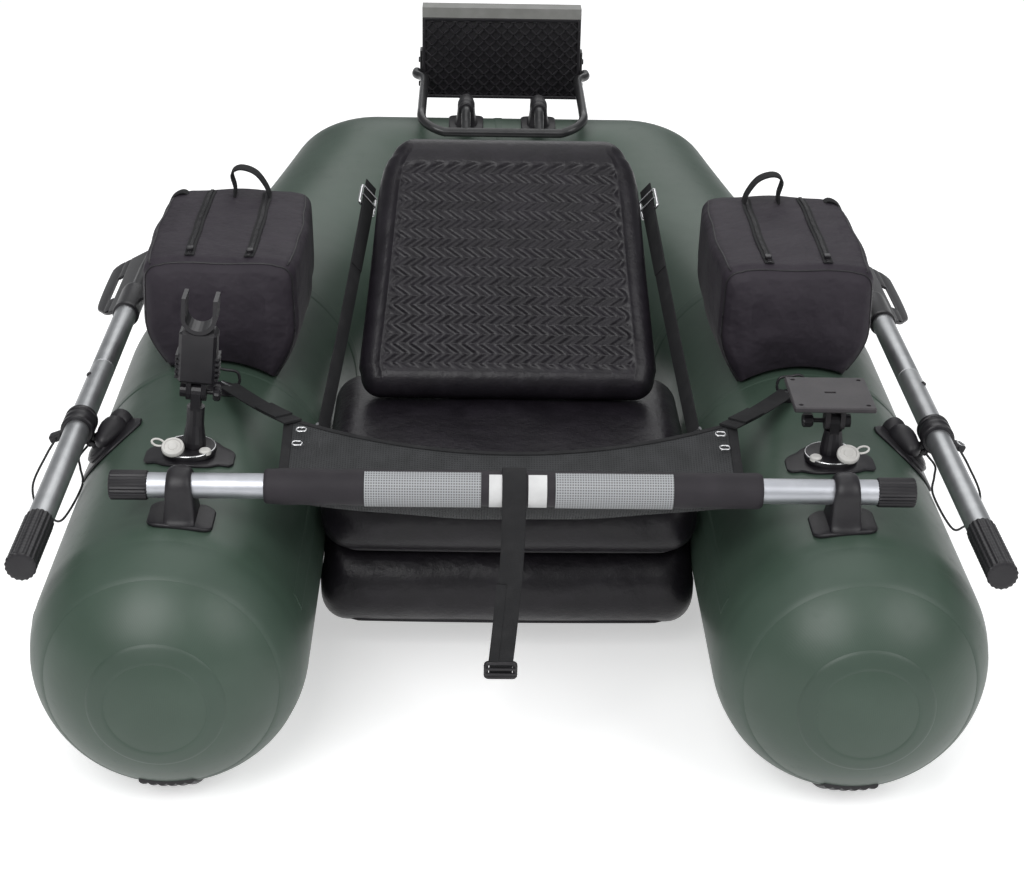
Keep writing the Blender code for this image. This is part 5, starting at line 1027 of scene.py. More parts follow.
def make_apron(net, webbing, chrome):
    """The net between the bar and the seat, with its bound hems and the straps that tie its rear corners."""
    x = np.linspace(-APRON_WIDE, APRON_WIDE, 121)
    grid_x, grid_t = np.meshgrid(x, np.linspace(0, 1, 61), indexing="ij")
    middle = apron_point(grid_x, grid_t)
    run = np.array([lengths(line) for line in middle])
    rows = np.concatenate([middle + 0.0004 * UP, (middle - 0.0004 * UP)[:, ::-1]], axis=1)
    chart = np.stack([np.concatenate([one, one[:, ::-1]], axis=1) for one in (grid_x, run)], axis=-1)
    cloth = put("apron_net", loft(rows, chart), "crossbar", net, ["apron_mesh"], smooth=80)
    hems = [strap_form(apron_point(x, np.full(len(x), 1.0)), 0.0065, 0.0024, (0, -0.2, 1)),
            strap_form(apron_point(x, np.full(len(x), 0.02)), 0.012, 0.0018, (0, -0.7, 1))]
    for side in (-1, 1):
        edge = apron_point(np.full(30, side * APRON_WIDE), np.linspace(0, 1, 30))
        hems.append(strap_form(edge, 0.012, 0.0024))
    metal = []
    share = np.linspace(0, 1, 30)[:, None]
    for _, side in SIDES:
        corner, end, way = corner_tie(side)
        route = (corner - way * 0.012) * (1 - share) + (end - way * 0.016) * share
        route = route + np.array((0, 0, -0.003)) * np.sin(share * math.pi)
        hems.append(strap_form(route, STRAP_WIDTH, 0.0026))
        hems.append(strap_form(route[4:14] + (0, 0, 0.0026), STRAP_WIDTH, 0.0022))
        metal.append(tube_form([end - way * 0.022, end - way * 0.008, end + way * 0.003], 0.0022, 12))
        for spot in ((side * 0.262, 0.205, 0.362), (side * 0.266, 0.186, 0.352)):
            ring = [np.array(spot) + (u, v, 0.2 * v) for u, v in rounded_outline(0.006, 0.004, 0.0035)]
            metal.append(tube_form(ring, 0.0011, 8, closed=True))
    trim = put("apron_trim", hems, "crossbar", webbing)
    put("apron_hooks", metal, "crossbar", chrome)


def make_crotch(webbing, plastic):
    """The strap that hangs from the middle of the bar: a loop round the sleeve, two layers, and a ladder buckle."""
    y = BAR_Y - 0.0213 - 0.002
    z = np.linspace(BAR_Z - 0.002, CROTCH_BOTTOM - 0.012, 40)
    share = np.clip((BAR_Z - 0.05 - z) / (BAR_Z - 0.05 - CROTCH_BOTTOM), 0, 1)
    route = np.stack([CROTCH_DRIFT * share**1.4, y + 0.0008 * np.sin(share * 7), z], axis=1)
    section = band_section(0.028, 0.0026)
    reach = SLEEVE_RADIUS + 0.0025 + section[:, 1]
    ring = loft([np.column_stack([section[:, 0], BAR_Y - reach * math.cos(a), BAR_Z + reach * math.sin(a)])
                 for a in np.linspace(math.radians(-20), math.radians(322), 50)])
    layers = [strap_form(route, 0.028, 0.0030, -ALONG),
              strap_form(route[18:36] + (-0.010, -0.0018, 0), 0.012, 0.0016, -ALONG), ring]
    put("crotch_webbing", layers, "crotch", webbing, ["crotch_strap"])
    centre = np.array((CROTCH_DRIFT, y, CROTCH_BOTTOM))
    outline = [centre + (u, 0, v) for u, v in rounded_outline(0.0175, 0.0095, 0.003)]
    parts = [tube_form(outline, 0.0030, 10, closed=True)]
    parts += [box_form(centre + (0, -0.003, height), (0.036, 0.003, 0.0032)) for height in (-0.004, 0.003)]
    put("crotch_ladder", parts, "crotch", plastic, ["crotch_buckle"])


# Mounting bases

BASE_X, BASE_Y, BASE_TOP = 0.400, 0.190, 0.3455
PLUG_LEAN = math.radians(27)
WING = ((-1.0, 0.30), (-0.93, 0.48), (-0.82, 0.56), (-0.70, 0.62), (-0.52, 0.84), (-0.28, 0.97), (0.0, 1.0))
TEAR = (
    (-1.0, 0.16), (-0.85, 0.42), (-0.62, 0.72), (-0.38, 0.93), (-0.12, 1.0),
    (0.15, 0.96), (0.42, 0.80), (0.68, 0.55), (0.88, 0.34), (1.0, 0.14),
)


def patch_outline(half_u, half_v, shares):
    """A patch's rounded outline from shares of its half sizes along and across."""
    right = smooth_route(shares, 4)
    return np.vstack([right, right[::-1] * (1, -1)])[::-1] * (half_u, half_v)


def make_bases(plastic, chrome, pale):
    """The two bonded bases for accessories: winged patch, round boss with a bright ring, and leaning plug."""
    outline = patch_outline(0.056, 0.042, WING + tuple((-a, b) for a, b in WING[-2::-1]))
    steps = [(TIP, 0), (0.0125, 0), (0.0140, 0.0015), (0.0140, 0.0050), (0.0130, 0.0064), (0.0108, 0.0066),
             (0.0100, 0.0052), (0.0060, 0.0052), (0.0052, 0.0062), (TIP, 0.0062)]
    up = np.array((0, -math.sin(PLUG_LEAN), math.cos(PLUG_LEAN)))
    for word, side in SIDES:
        base = np.array((side * BASE_X, BASE_Y, 0.0))
        place = side_place(side, math.asin((BASE_X - SIDE_X) / TUBE_RADIUS), BASE_Y)
        boss = rounded_profile(0.0335, AXIS_Z + TUBE_RADIUS + 0.0012, BASE_TOP, 0.003, 6)
        put(f"base_{word}", [slab_form(outline, -GAP, 0.0035, place, 0.0016, 4), turned(boss, base, UP, 72)],
            "hull_body", plastic, [f"mount_base_{word}"])
        ring = hoop(base + (BASE_TOP - 0.0012) * UP, 0.0322 * ACROSS, 0.0322 * ALONG, 90)
        put(f"base_ring_{word}", tube_form(ring, 0.0013, 10, closed=True), "hull_body", chrome)
        centre = base + (side * 0.0165, -0.0245, BASE_TOP + GAP + 0.0062)
        out = unit(np.array((side * 0.93, 0.37 * math.cos(PLUG_LEAN), 0.37 * math.sin(PLUG_LEAN))))
        ring = hoop(centre + out * 0.0205 + up * 0.0030, 0.0080 * out, 0.0080 * 0.62 * np.cross(up, out), 90)
        plug = [turned(steps, centre, up, 48), tube_form(ring, 0.0014, 10, closed=True)]
        put(f"plug_{word}", plug, "hull_body", pale, [f"mount_plug_{word}"])


# Oars

OAR_AXIS_X = 0.5600
OAR_AXIS_Z = 0.3135
OARLOCK_Y = 0.316
OAR_TURN = math.radians(47)
CLIP_LEAN = math.radians(21)
PIVOT_DROP = 0.0265
SHAFT_RADIUS = 0.0160
GRIP_END = -0.070
BLADE_TILT = math.radians(28)
BLADE_ROOT = 0.744
BLADE_LENGTH = 0.245
BLADE_HALF = 0.072
BLADE_THICK = 0.0021
BLADE_SLOTS = ((-0.0496, -0.0396), (0.0396, 0.0496))
# Shares of the blade's length, and of its half width on the inner and the outer side
BLADE_SHARES = (
    (0.0, 0.34, 0.34), (0.06, 0.62, 0.60), (0.16, 0.90, 0.80), (0.28, 1.0, 0.95),
    (0.55, 1.0, 1.0), (0.90, 0.98, 1.0), (0.97, 0.93, 0.96), (1.0, 0.80, 0.84),
)
# Profiles: radius, and distance along the axis
SPINE = (
    (0.0162, 0.705), (0.0190, 0.7055), (0.0195, 0.7075), (0.0195, 0.7120), (0.0188, 0.7135), (0.0188, 0.786),
    (0.0180, 0.794), (0.0120, 0.806), (0.0088, 0.812), (0.0080, 0.900), (0.0062, 0.960), (0.0030, 0.984), (TIP, 0.985),
)
BOOT = (
    (TIP, 0), (0.0125, 0), (0.0150, 0.0020), (0.0158, 0.0080), (0.0150, 0.0150), (0.0140, 0.0170), (0.0150, 0.0190),
    (0.0172, 0.0250), (0.0178, 0.0330), (0.0165, 0.0420), (0.0138, 0.0510), (0.0112, 0.0590), (0.0085, 0.0645),
    (0.0050, 0.0675), (TIP, 0.0685),
)
BOOT_START = (0.508, 0.352, 0.309)
BOOT_WAY = (0.022, -0.062, -0.011)
COLLAR = [
    (0.0164, -0.019), (0.0200, -0.019), (0.0215, -0.0175), (0.0215, -0.0120), (0.0206, -0.0112), (0.0206, -0.0050),
    (0.0214, -0.0040),
]


def oar_point(side, y):
    """A point on the axis of a stowed oar."""
    return np.array((side * OAR_AXIS_X, y, OAR_AXIS_Z))


def make_oars(metal, rubber, plastic, chrome):
    """Both oars: anodised two-piece shaft, fluted grip with a flat end, blade with its socket, spine and slots."""
    for word, side in SIDES:
        for name, node, low, high in (("front", "handle", -0.0646, 0.500), ("rear", "blade", 0.5006, 0.735)):
            shaft = turned(rounded_profile(SHAFT_RADIUS, low, high, 0.0006), oar_point(side, 0), ALONG, 56)
            put(f"shaft_{name}_{word}", shaft, f"oar_{word}", metal, [f"oar_{node}_shaft_{word}"])
        make_grip(word, side, rubber)
        make_blade(word, side, plastic)
        make_head(word, side, plastic, rubber, chrome)


def make_grip(word, side, rubber):
    """The grip: a sleeve with flutes along it, faint rings and a flanged mouth, and a flat round end."""
    height = np.linspace(GRIP_END, 0.042, 150)
    share = (height - GRIP_END) / 0.112
    rib = 0.0001 * np.sin((height - GRIP_END) * 2 * math.pi / 0.0075)
    rib = rib * np.clip((share - 0.08) / 0.05, 0, 1) * np.clip((0.90 - share) / 0.05, 0, 1)
    radius = 0.0180 + rib + 0.0006 * np.exp(-((share - 0.035) / 0.03)**2)
    profile = np.vstack([[(TIP, GRIP_END), (0.0130, GRIP_END), (0.0168, -0.0696)],
                         np.stack([radius, height], axis=1)[2:], [(0.0162, 0.0420)]])
    put(f"grip_{word}", turned(profile, oar_point(side, 0), ALONG, 144, 18, 0.055), f"oar_{word}", rubber,
        [f"oar_grip_{word}"])


def make_blade(word, side, plastic):
    """The blade: three strips with round rims inside its outline, bridges that close the ends of the two slots
    between them, and a socket that runs out into a tapering spine."""
    across = np.array((side * math.cos(BLADE_TILT), 0, -math.sin(BLADE_TILT)))
    normal = np.array((side * math.sin(BLADE_TILT), 0, math.cos(BLADE_TILT)))
    centre = oar_point(side, 0)

    def place(u, v, height):
        return centre + v * ALONG + u[:, None] * across + height[:, None] * normal

    fine = smooth_route(BLADE_SHARES, 6)
    along = BLADE_ROOT + fine[:, 0] * BLADE_LENGTH
    inner, outer = -fine[:, 1] * BLADE_HALF, fine[:, 2] * BLADE_HALF
    (slot_a, slot_b), (slot_c, slot_d) = BLADE_SLOTS
    strips = ((inner, np.maximum(np.minimum(outer, slot_a), inner + 0.0008)),
              (np.maximum(slot_b, inner), np.minimum(slot_c, outer)),
              (np.minimum(np.maximum(inner, slot_d), outer - 0.0008), outer))
    forms = [blade_bar(left, right, along, place) for left, right in strips]
    for slot in BLADE_SLOTS:
        for ends in (np.linspace(BLADE_ROOT, BLADE_ROOT + 0.30 * BLADE_LENGTH, 8),
                     np.linspace(BLADE_ROOT + 0.70 * BLADE_LENGTH, along[-2], 8)):
            left = np.maximum(slot[0] - 0.001, np.interp(ends, along, inner) + 0.0006)
            right = np.minimum(slot[1] + 0.001, np.interp(ends, along, outer) - 0.0006)
            good = right - left > 0.0015
            if good.sum() > 1:
                forms.append(blade_bar(left[good], right[good], ends[good], place))
    forms.append(turned(SPINE, centre, ALONG, 48))
    put(f"blade_{word}", forms, f"oar_{word}", plastic, [f"oar_blade_{word}"])


def blade_bar(left, right, along, place):
    """A strip of the blade between two edges, with rounded rims."""
    t = np.linspace(0, math.pi, 7)
    height = np.concatenate([-BLADE_THICK * np.cos(t), BLADE_THICK * np.cos(t)])
    rows = []
    for a, b, y in zip(left, right, along):
        rim = min(BLADE_THICK, (b - a) / 2.2)
        rows.append(place(np.concatenate([b - rim + rim * np.sin(t), a + rim - rim * np.sin(t)]), y, height))
    return loft(rows)


def lock_frame(side):
    """The oarlock's directions and its clip: out of the tube, across the shaft and that, out of the clip, and the
    clip's place."""
    out = np.array((side * math.sin(OAR_TURN), 0, math.cos(OAR_TURN)))
    clip_way = np.array((side * math.cos(CLIP_LEAN), 0, -math.sin(CLIP_LEAN)))
    return out, np.cross(out, ALONG), clip_way, oar_point(side, OARLOCK_Y - 0.012) + clip_way * 0.030


def make_head(word, side, plastic, rubber, chrome):
    """The oarlock: patch, ring, domed swivel head with its ears, the boot beside it, the collar with two bands and
    the cord clip."""
    out, third, clip_way, clip = lock_frame(side)
    foot = np.array((side * SIDE_X, OARLOCK_Y, AXIS_Z)) + out * TUBE_RADIUS
    patch = slab_form(patch_outline(0.060, 0.044, TEAR), -GAP, 0.0035, side_place(side, OAR_TURN, OARLOCK_Y), 0.0016, 4)
    put(f"lock_base_{word}", [patch, turned(rounded_profile(0.029, 0.0016, 0.0090, 0.003, 6), foot, out, 64)],
        "hull_body", plastic, [f"oarlock_base_{word}"])
    dome_turn = np.linspace(0, math.pi / 2, 8)[:-1]
    dome = np.stack([0.0245 * np.cos(dome_turn), 0.0094 + 0.0050 * np.sin(dome_turn)], axis=1)
    head = [turned(np.vstack([[(TIP, 0.0094)], dome, [(TIP, 0.0144)]]), foot, out, 56)]
    reach = (OAR_AXIS_X - SIDE_X) * math.sin(OAR_TURN) + (OAR_AXIS_Z - AXIS_Z) * math.cos(OAR_TURN) - TUBE_RADIUS
    pivot_height = reach - PIVOT_DROP
    arc = np.linspace(0, math.pi, 12)
    ear = np.vstack([[(0.009, 0.011)], np.stack([0.0075 * np.cos(arc), pivot_height + 0.0042 * np.sin(arc)], 1),
                     [(-0.009, 0.011)]])
    for way in (-1, 1):
        middle = foot + third * way * (0.0065 / 2 + 0.0003 + 0.003)
        head.append(slab_form(ear, -0.003, 0.003, flat_place(middle, ALONG, out), 0.0008))
    put(f"lock_head_{word}", head, f"oar_head_{word}_body", plastic, [f"oar_head_{word}"])
    start, way = np.array(BOOT_START) * (side, 1, 1), np.array(BOOT_WAY) * (side, 1, 1)
    put(f"lock_boot_{word}", turned(BOOT, start, way, 48), f"oar_head_{word}_body", rubber)
    pivot = foot + out * pivot_height
    lug = np.vstack([[(0.0055, 0.0095)], np.stack([0.0055 * np.cos(arc), -0.0034 * np.sin(arc)], 1),
                     [(-0.0055, 0.0095)]])
    forms = [turned(COLLAR + [(radius, -y) for radius, y in COLLAR[::-1]], oar_point(side, OARLOCK_Y), ALONG, 56),
             slab_form(lug, -0.0032, 0.0032, flat_place(pivot, ALONG, out), 0.0008),
             tube_form([pivot - third * 0.0142, pivot + third * 0.0142], 0.0025, 16)]
    forms += [turned(rounded_profile(0.0040, 0, 0.0042, 0.0012), pivot + third * way * 0.0102, third * way, 24)
              for way in (-1, 1)]
    forms.append(box_form(clip, (0.018, 0.016, 0.009), clip_way, ALONG, 0.0016))
    put(f"collar_{word}", forms, f"oar_collar_{word}_body", plastic, [f"oar_collar_{word}"])
    ring = clip + clip_way * 0.002 + np.cross(clip_way, ALONG) * 0.0046
    put(f"clip_ring_{word}", tube_form(hoop(ring, 0.0050 * clip_way, 0.0050 * ALONG, 26), 0.0010, 8, closed=True),
        f"oar_collar_{word}_body", chrome)


CORD_ROUTE = (
    (0.0400, -0.032, -0.030), (0.0582, -0.038, -0.068), (0.0509, -0.058, -0.0915),
    (0.0284, -0.088, -0.0906), (0.0074, -0.108, -0.0816), (-0.0119, -0.072, -0.0530),
    (-0.0045, -0.037, -0.0440), (0.0010, -0.013, -0.0400),
)


def make_cords(material):
    """The thin cords that hang in a bight under the shafts from the clip to the stud of the head."""
    for word, side in SIDES:
        out, third, _, clip = lock_frame(side)
        start = clip - ALONG * 0.0083
        down = third * (-np.sign(third[2]))
        corner = oar_point(side, OARLOCK_Y)
        end = corner - out * PIVOT_DROP + down * (0.00325 + 0.006 + 0.0009 + 0.0040 + 0.0003)
        route = [start - ALONG * 0.003] + [corner + (side * a, b, c) for a, b, c in CORD_ROUTE] + [end + down * 0.003]
        points = np.vstack([[start], smooth_route(route, 10), [end]])
        path = [tuple(p) for p in (points - (0, MIDDLE_Y, 0)).tolist()]
        made = put(f"tether_{word}", tube_form(points, 0.0015, 12), f"oar_collar_{word}_body", material,
                   [f"tether_cord_{word}"])
        exit_point = path[0]
        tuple(exit_point)
        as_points(path)


# Bags

BAG_X = 0.392
BAG_FRONT = 0.470
BAG_REAR = 0.800
BAG_TOP = 0.480
BAG_HALF = 0.100
BAG_EDGE = 0.020
BAG_SAG = 0.0015
BAG_HANDLE = ((-0.46, 0.0), (-0.42, 0.40), (-0.26, 0.85), (-0.04, 1.0), (0.09, 0.84), (0.05, 0.42), (0.06, 0.0))
BAG_LOOP = ((0.070, 0.474), (0.082, 0.484), (0.098, 0.476), (0.106, 0.456), (0.103, 0.440))
# Places in a bag's section: where its wall starts, its two upper edges and its two zips
BAG_WALL = 24
BAG_EDGES = (49, 78)
BAG_ZIPS = (58, 69)


def tube_at(y):
    """Centre, height and half width of the side tube's cross section at this y."""
    line = half_line(0)
    wide = TUBE_RADIUS if y <= STRAIGHT_LENGTH else TUBE_RADIUS / math.cos(QUARTER_TURN)
    return -np.interp(y, line[:, 1], line[:, 0]), tube_height(y), wide


def bag_ring(side, y, inset, grow):
    """One section of a bag: its underside lies on the tube, its walls bulge a little, its top sags as a sine and
    its upper edges are round."""
    centre, middle, wide = tube_at(y)
    half = BAG_HALF - inset
    foot = half * 0.74
    x = np.linspace(BAG_X - foot, BAG_X + foot, 24)
    under = np.column_stack([x, middle + (TUBE_RADIUS + 0.0013) * np.sqrt(1 - (np.abs(x - centre) / wide)**2)])
    under[:, 1] += max(inset, 0) * 0.5
    top = BAG_TOP - max(inset, 0)
    t = np.linspace(0, 1, 22)[1:]
    bulge = foot + (half + 0.005 + grow - foot) * np.sin(np.minimum(t * 1.9, 1) * math.pi / 2) - 0.002 * t**3
    corner = np.linspace(0, math.pi / 2, 9)[1:]
    walls = []
    for way, low in ((1, under[-1, 1]), (-1, under[0, 1])):
        upright = np.column_stack([BAG_X + way * bulge, low + (top - BAG_EDGE - low) * t])
        edge = np.column_stack([upright[-1, 0] - way * BAG_EDGE * (1 - np.cos(corner)),
                                top - BAG_EDGE + BAG_EDGE * np.sin(corner)])
        walls.append(np.vstack([upright, edge]))
    roof_x = np.linspace(walls[0][-1, 0], walls[1][-1, 0], 24)[1:-1]
    fall = 1 - ((roof_x - BAG_X) / half)**2
    roof_z = top + 0.004 * fall - BAG_SAG * np.sin((roof_x - BAG_X) / half * 5 + y * 30) * fall
    ring = np.vstack([under, walls[0], np.column_stack([roof_x, roof_z]), walls[1][::-1]])
    return np.column_stack([side * ring[:, 0], np.full(len(ring), y), ring[:, 1]])


def make_bags(cloth, webbing, rubber, plastic):
    """The two side bags: sagging body, piped edges, two zips over the lid, a front pocket, handle and side loop."""
    share = np.concatenate([np.linspace(0, 0.07, 9), np.linspace(0.09, 0.92, 56), np.linspace(0.94, 1.0, 9)])
    inset = BAG_EDGE * np.interp(share, (0.0, 0.02, 0.07, 0.30, 0.55, 0.80, 0.94, 0.985, 1.0),
                                 (0.75, 0.30, 0.0, -0.25, -0.3, -0.2, 0.0, 0.35, 0.8))
    for word, side in SIDES:
        rings = np.array([bag_ring(side, BAG_FRONT + s * (BAG_REAR - BAG_FRONT), less,
                                   0.0012 * math.sin(s * 17 + side) * math.sin(math.pi * s))
                          for s, less in zip(share, inset)])
        put(f"bag_{word}", loft(rings), "hull_body", cloth, [f"bag_{word}"], smooth=60)
        trim = [tube_form(rings[row, BAG_WALL:] + (0, shift, 0), 0.0013, 8)
                for row, shift in ((4, -0.001), (-6, 0.001))]
        trim += [tube_form(rings[6:-6, column], 0.0012, 8) for column in BAG_EDGES]
        zips, teeth = [], []
        for column in BAG_ZIPS:
            line = rings[8:-10, column] + (0, 0, 0.0016)
            zips.append(strap_form(line, 0.013, 0.0014))
            at = np.linspace(0, len(line) - 1, 60)
            for spot in np.column_stack([np.interp(at, np.arange(len(line)), line[:, k]) for k in range(3)]):
                teeth.append(plain_box(spot + (0, 0, 0.0018), (0.0046, 0.0020, 0.0016)))
            teeth.append(box_form(line[3] + (0, 0, 0.0040), (0.009, 0.011, 0.004), edge=0.0012))
        pocket = flat_place((side * BAG_X, BAG_FRONT + 0.006, 0.412), ACROSS, UP)
        put(f"bag_pocket_{word}", slab_form(rounded_outline(0.076, 0.034, 0.012), 0.0, 0.0055, pocket, 0.003, 4, 0.002),
            "hull_body", cloth)
        arch = [(side * (BAG_X + a * BAG_HALF), BAG_REAR - 0.044, BAG_TOP - 0.006 + b * 0.052) for a, b in BAG_HANDLE]
        route = smooth_route(arch, 8)
        loop = [(side * (BAG_X + a), BAG_REAR - 0.030, z) for a, z in BAG_LOOP]
        straps = [upright_band(route, 0.024, 0.0030)]
        straps += [upright_band(end + (0, -0.0022, 0), 0.026, 0.0034) for end in (route[:9], route[-9:])]
        straps.append(upright_band(smooth_route(loop, 5), 0.016, 0.0024))
        put(f"bag_straps_{word}", straps, "hull_body", webbing)
        put(f"bag_piping_{word}", trim, "hull_body", rubber)
        put(f"bag_zips_{word}", zips, "hull_body", webbing)
        put(f"bag_zip_teeth_{word}", teeth, "hull_body", plastic)


def plain_box(centre, size):
    """A box with sharp edges."""
    x, y, z = np.array(size) / 2
    return loft(np.array([[(a * x, b * y, c * z) for a, b in ((-1, -1), (1, -1), (1, 1), (-1, 1))] for c in (-1, 1)])
                + centre)


def upright_band(route, width, thickness):
    """A flat band along a route in an upright plane, its width level along y."""
    out = unit(np.cross(unit(np.gradient(route, axis=0)), ALONG))
    section = band_section(width, thickness)
    points = route[:, None] + section[None, :, :1] * ALONG + section[None, :, 1:] * out[:, None]
    return loft(points, np.stack(np.meshgrid(lengths(route), section[:, 0], indexing="ij"), axis=-1))


# Motor mount

BOARD_FRONT = 1.602
BOARD_DEPTH = 0.038
BOARD_HALF = 0.145
BOARD_LOW = 0.396
BOARD_HIGH = 0.562
BOARD_WALL = 0.006
FRAME_Y, FRAME_Z, ARM_Z = 1.295, 0.4225, 0.4405
MOTOR_TUBE = 0.0078
LATTICE_PITCH = 0.0212
LATTICE_RIB = 0.0036


def make_motor_mount(metal, plastic):
    """The bent tube frame with its bolted side plates, and the board that it carries."""
    arm_end = BOARD_FRONT + BOARD_DEPTH / 2
    bracket = BOARD_HALF + GAP + 0.002
    turn = np.linspace(0, math.pi / 2, 12)
    arc = np.stack([0.100 + 0.040 * np.sin(turn), FRAME_Y + 0.040 * (1 - np.cos(turn)),
                    FRAME_Z + (ARM_Z - FRAME_Z) * turn / (math.pi / 2)], axis=1)
    tail = smooth_route([(0.140, 1.36, ARM_Z), (0.140, 1.50, ARM_Z), (0.140, BOARD_FRONT - 0.030, ARM_Z),
                         (bracket + MOTOR_TUBE, BOARD_FRONT - 0.002, ARM_Z), (bracket + MOTOR_TUBE, arm_end, ARM_Z)], 6)
    right = np.vstack([[(0, FRAME_Y, FRAME_Z)], arc, tail])
    forms = [tube_form(np.vstack([(right[::-1] * (-1, 1, 1))[:-1], right]), MOTOR_TUBE, 24)]
    low = BOARD_LOW - MOTOR_TUBE - GAP
    knots = [(FRAME_Y, FRAME_Z), (1.318, 0.4335), (1.342, HOLDER_Z), (1.408, HOLDER_Z), (1.440, 0.4410),
             (BOARD_FRONT - 0.020, low + 0.006), (BOARD_FRONT, low), (1.625, low)]
    for side in (-1, 1):
        forms.append(tube_form(smooth_route([(side * HOLDER_X, y, z) for y, z in knots], 6), MOTOR_TUBE, 24))
        forms.append(box_form((side * bracket, arm_end, 0.443), (0.004, 0.030, 0.080)))
        forms += [turned(rounded_profile(0.0050, 0, 0.003, 0.001), (side * (bracket + 0.0018), arm_end, height),
                         side * ACROSS, 20) for height in (0.418, ARM_Z, 0.463)]
    put("motor_tubes", forms, "hull_body", metal, ["motor_frame"])
    make_board(plastic)


def make_board(plastic):
    """The motor board: a plate with a rim and ribs that cross on the slant, on both faces."""
    middle = BOARD_FRONT + BOARD_DEPTH / 2
    top = BOARD_HIGH - 0.0164
    centre_z = (BOARD_LOW + top) / 2
    height = top - BOARD_LOW
    plates = ((centre_z, BOARD_DEPTH - 0.014, height - 0.002), (BOARD_HIGH - 0.009, 0.030, 0.0165))
    forms = [box_form((0, middle, z), (2 * BOARD_HALF - 0.004, deep, tall), edge=0.001) for z, deep, tall in plates]
    forms += [box_form((0, middle, z), (2 * BOARD_HALF, BOARD_DEPTH, BOARD_WALL), edge=0.0012)
              for z in (BOARD_LOW + BOARD_WALL / 2, top - BOARD_WALL / 2)]
    half_x, half_z = BOARD_HALF - BOARD_WALL / 2, (height - BOARD_WALL) / 2
    forms += [box_form((x, middle, centre_z), (BOARD_WALL, BOARD_DEPTH - 0.0004, height), edge=0.0012)
              for x in (-half_x, half_x)]
    for way in (-1, 1):
        for offset in np.arange(-(half_x + half_z), half_x + half_z, LATTICE_PITCH):
            low, high = max(-half_z, -half_x - offset), min(half_z, half_x - offset)
            if high - low >= 0.006:
                centre = (way * (offset + (low + high) / 2), middle, centre_z + (low + high) / 2)
                size = ((high - low) * math.sqrt(2), BOARD_DEPTH - 0.0016, LATTICE_RIB)
                forms.append(box_form(centre, size, unit((way, 0, 1)), ALONG, 0.0005))
    put("board", forms, "hull_body", plastic, ["motor_board"])


# Loose hardware on the hull


def tube_ring(names, side, turn, y, radius, corners, patch, wire):
    """A bent wire that stands on a round patch on a side tube; corners are half of its route."""
    place = side_place(side, turn, y)
    put(names[0], slab_form(radius * circle(40), -GAP, 0.0020, place), "hull_body", patch, [names[2]])
    line = smooth_route(np.vstack([corners, np.array(corners[-2::-1]) * (-1, 1)]), 5)
    put(names[1], tube_form(place(line[:, 0], 0 * line[:, 0], line[:, 1]), RING_WIRE, 12), "hull_body", wire)


def make_rings(plastic, chrome):
    """The rings for the backrest straps and the apron ties, each on a round patch."""
    lift = TIE_Z - AXIS_Z - TUBE_RADIUS + 0.010
    strap = [(0.016, 0.0), (0.016, 0.010), (0.0144, 0.019), (0.0088, 0.022), (0, 0.022)]
    tie = [(0.017, 0.0), (0.017, lift * 0.6), (0.017, lift), (0.0119, lift + 0.010), (0, lift + 0.010)]
    tie_turn = math.asin((TIE_X - SIDE_X) / TUBE_RADIUS)
    for word, side in SIDES:
        tube_ring((f"strap_patch_{word}", f"strap_wire_{word}", f"strap_ring_{word}"), side, RING_TURN, RING_Y, 0.018,
                  strap, plastic, chrome)
        tube_ring((f"tie_patch_{word}", f"tie_wire_{word}", f"apron_ring_{word}"), side, tie_turn, TIE_Y, 0.022,
                  tie, plastic, plastic)


def make_valves(plastic):
    """The air valves on the rear: round patch, threaded rim and a fluted screw cap."""
    turn = math.radians(62)
    out = np.array((0, math.sin(turn), math.cos(turn)))
    for word, side in SIDES:
        place = rear_place(side * 0.200, turn)
        foot = place(*np.array((0.0, 0.0, 0.0012)))
        forms = [slab_form(0.030 * circle(48), -GAP, 0.0035, place, 0.0014),
                 turned(rounded_profile(0.0220, 0, 0.0060, 0.0015), foot, out, 64),
                 turned(rounded_profile(0.0195, 0.0050, 0.0100, 0.0015), foot, out, 96, 24, 0.05)]
        put(f"air_valve_{word}", forms, "hull_body", plastic, [f"valve_{word}"])


# Stage, light and world

FLOOR_HALF = 14.0
# Name, place, target, size and power of each lamp
LAMPS = (
    ("key", (-1.2, -3.0, 2.7), (0.0, 0.0, 0.2), 2.2, 96.0), ("fill", (2.4, -2.4, 2.4), (0.0, 0.0, 0.2), 2.2, 56.0),
    ("rear", (0.3, 3.2, 2.8), (0.0, 0.3, 0.2), 2.8, 34.0), ("top", (0.0, 0.2, 4.0), (0.0, 0.1, 0.0), 3.2, 48.0),
)

def make_stage():
    """A pale floor that the camera sees as white away from the shadow."""
    finish = Finish("floor")
    paper = finish.noise(4.0, 2.0)
    seen = finish.node("ShaderNodeLightPath") + finish.node("ShaderNodeLightPath", output="Is Glossy Ray")
    finish.done(base_color=finish.mix(paper, (0.80, 0.80, 0.80), (0.815, 0.815, 0.815)), roughness=0.9,
                emission_color=finish.mix(seen, (0.0, 0.0, 0.0), (1.0, 1.0, 1.0)), emission_strength=0.5)
    mesh = bpy.data.meshes.new("floor")
    corners = [(FLOOR_HALF * a, FLOOR_HALF * b, 0) for a, b in ((-1, -1), (1, -1), (1, 1), (-1, 1))]
    mesh.from_pydata(corners, [], [(0, 1, 2, 3)])
    floor = bpy.data.objects.new("floor", mesh)
    mesh.materials.append(finish.material)
    bpy.context.scene.collection.objects.link(floor)


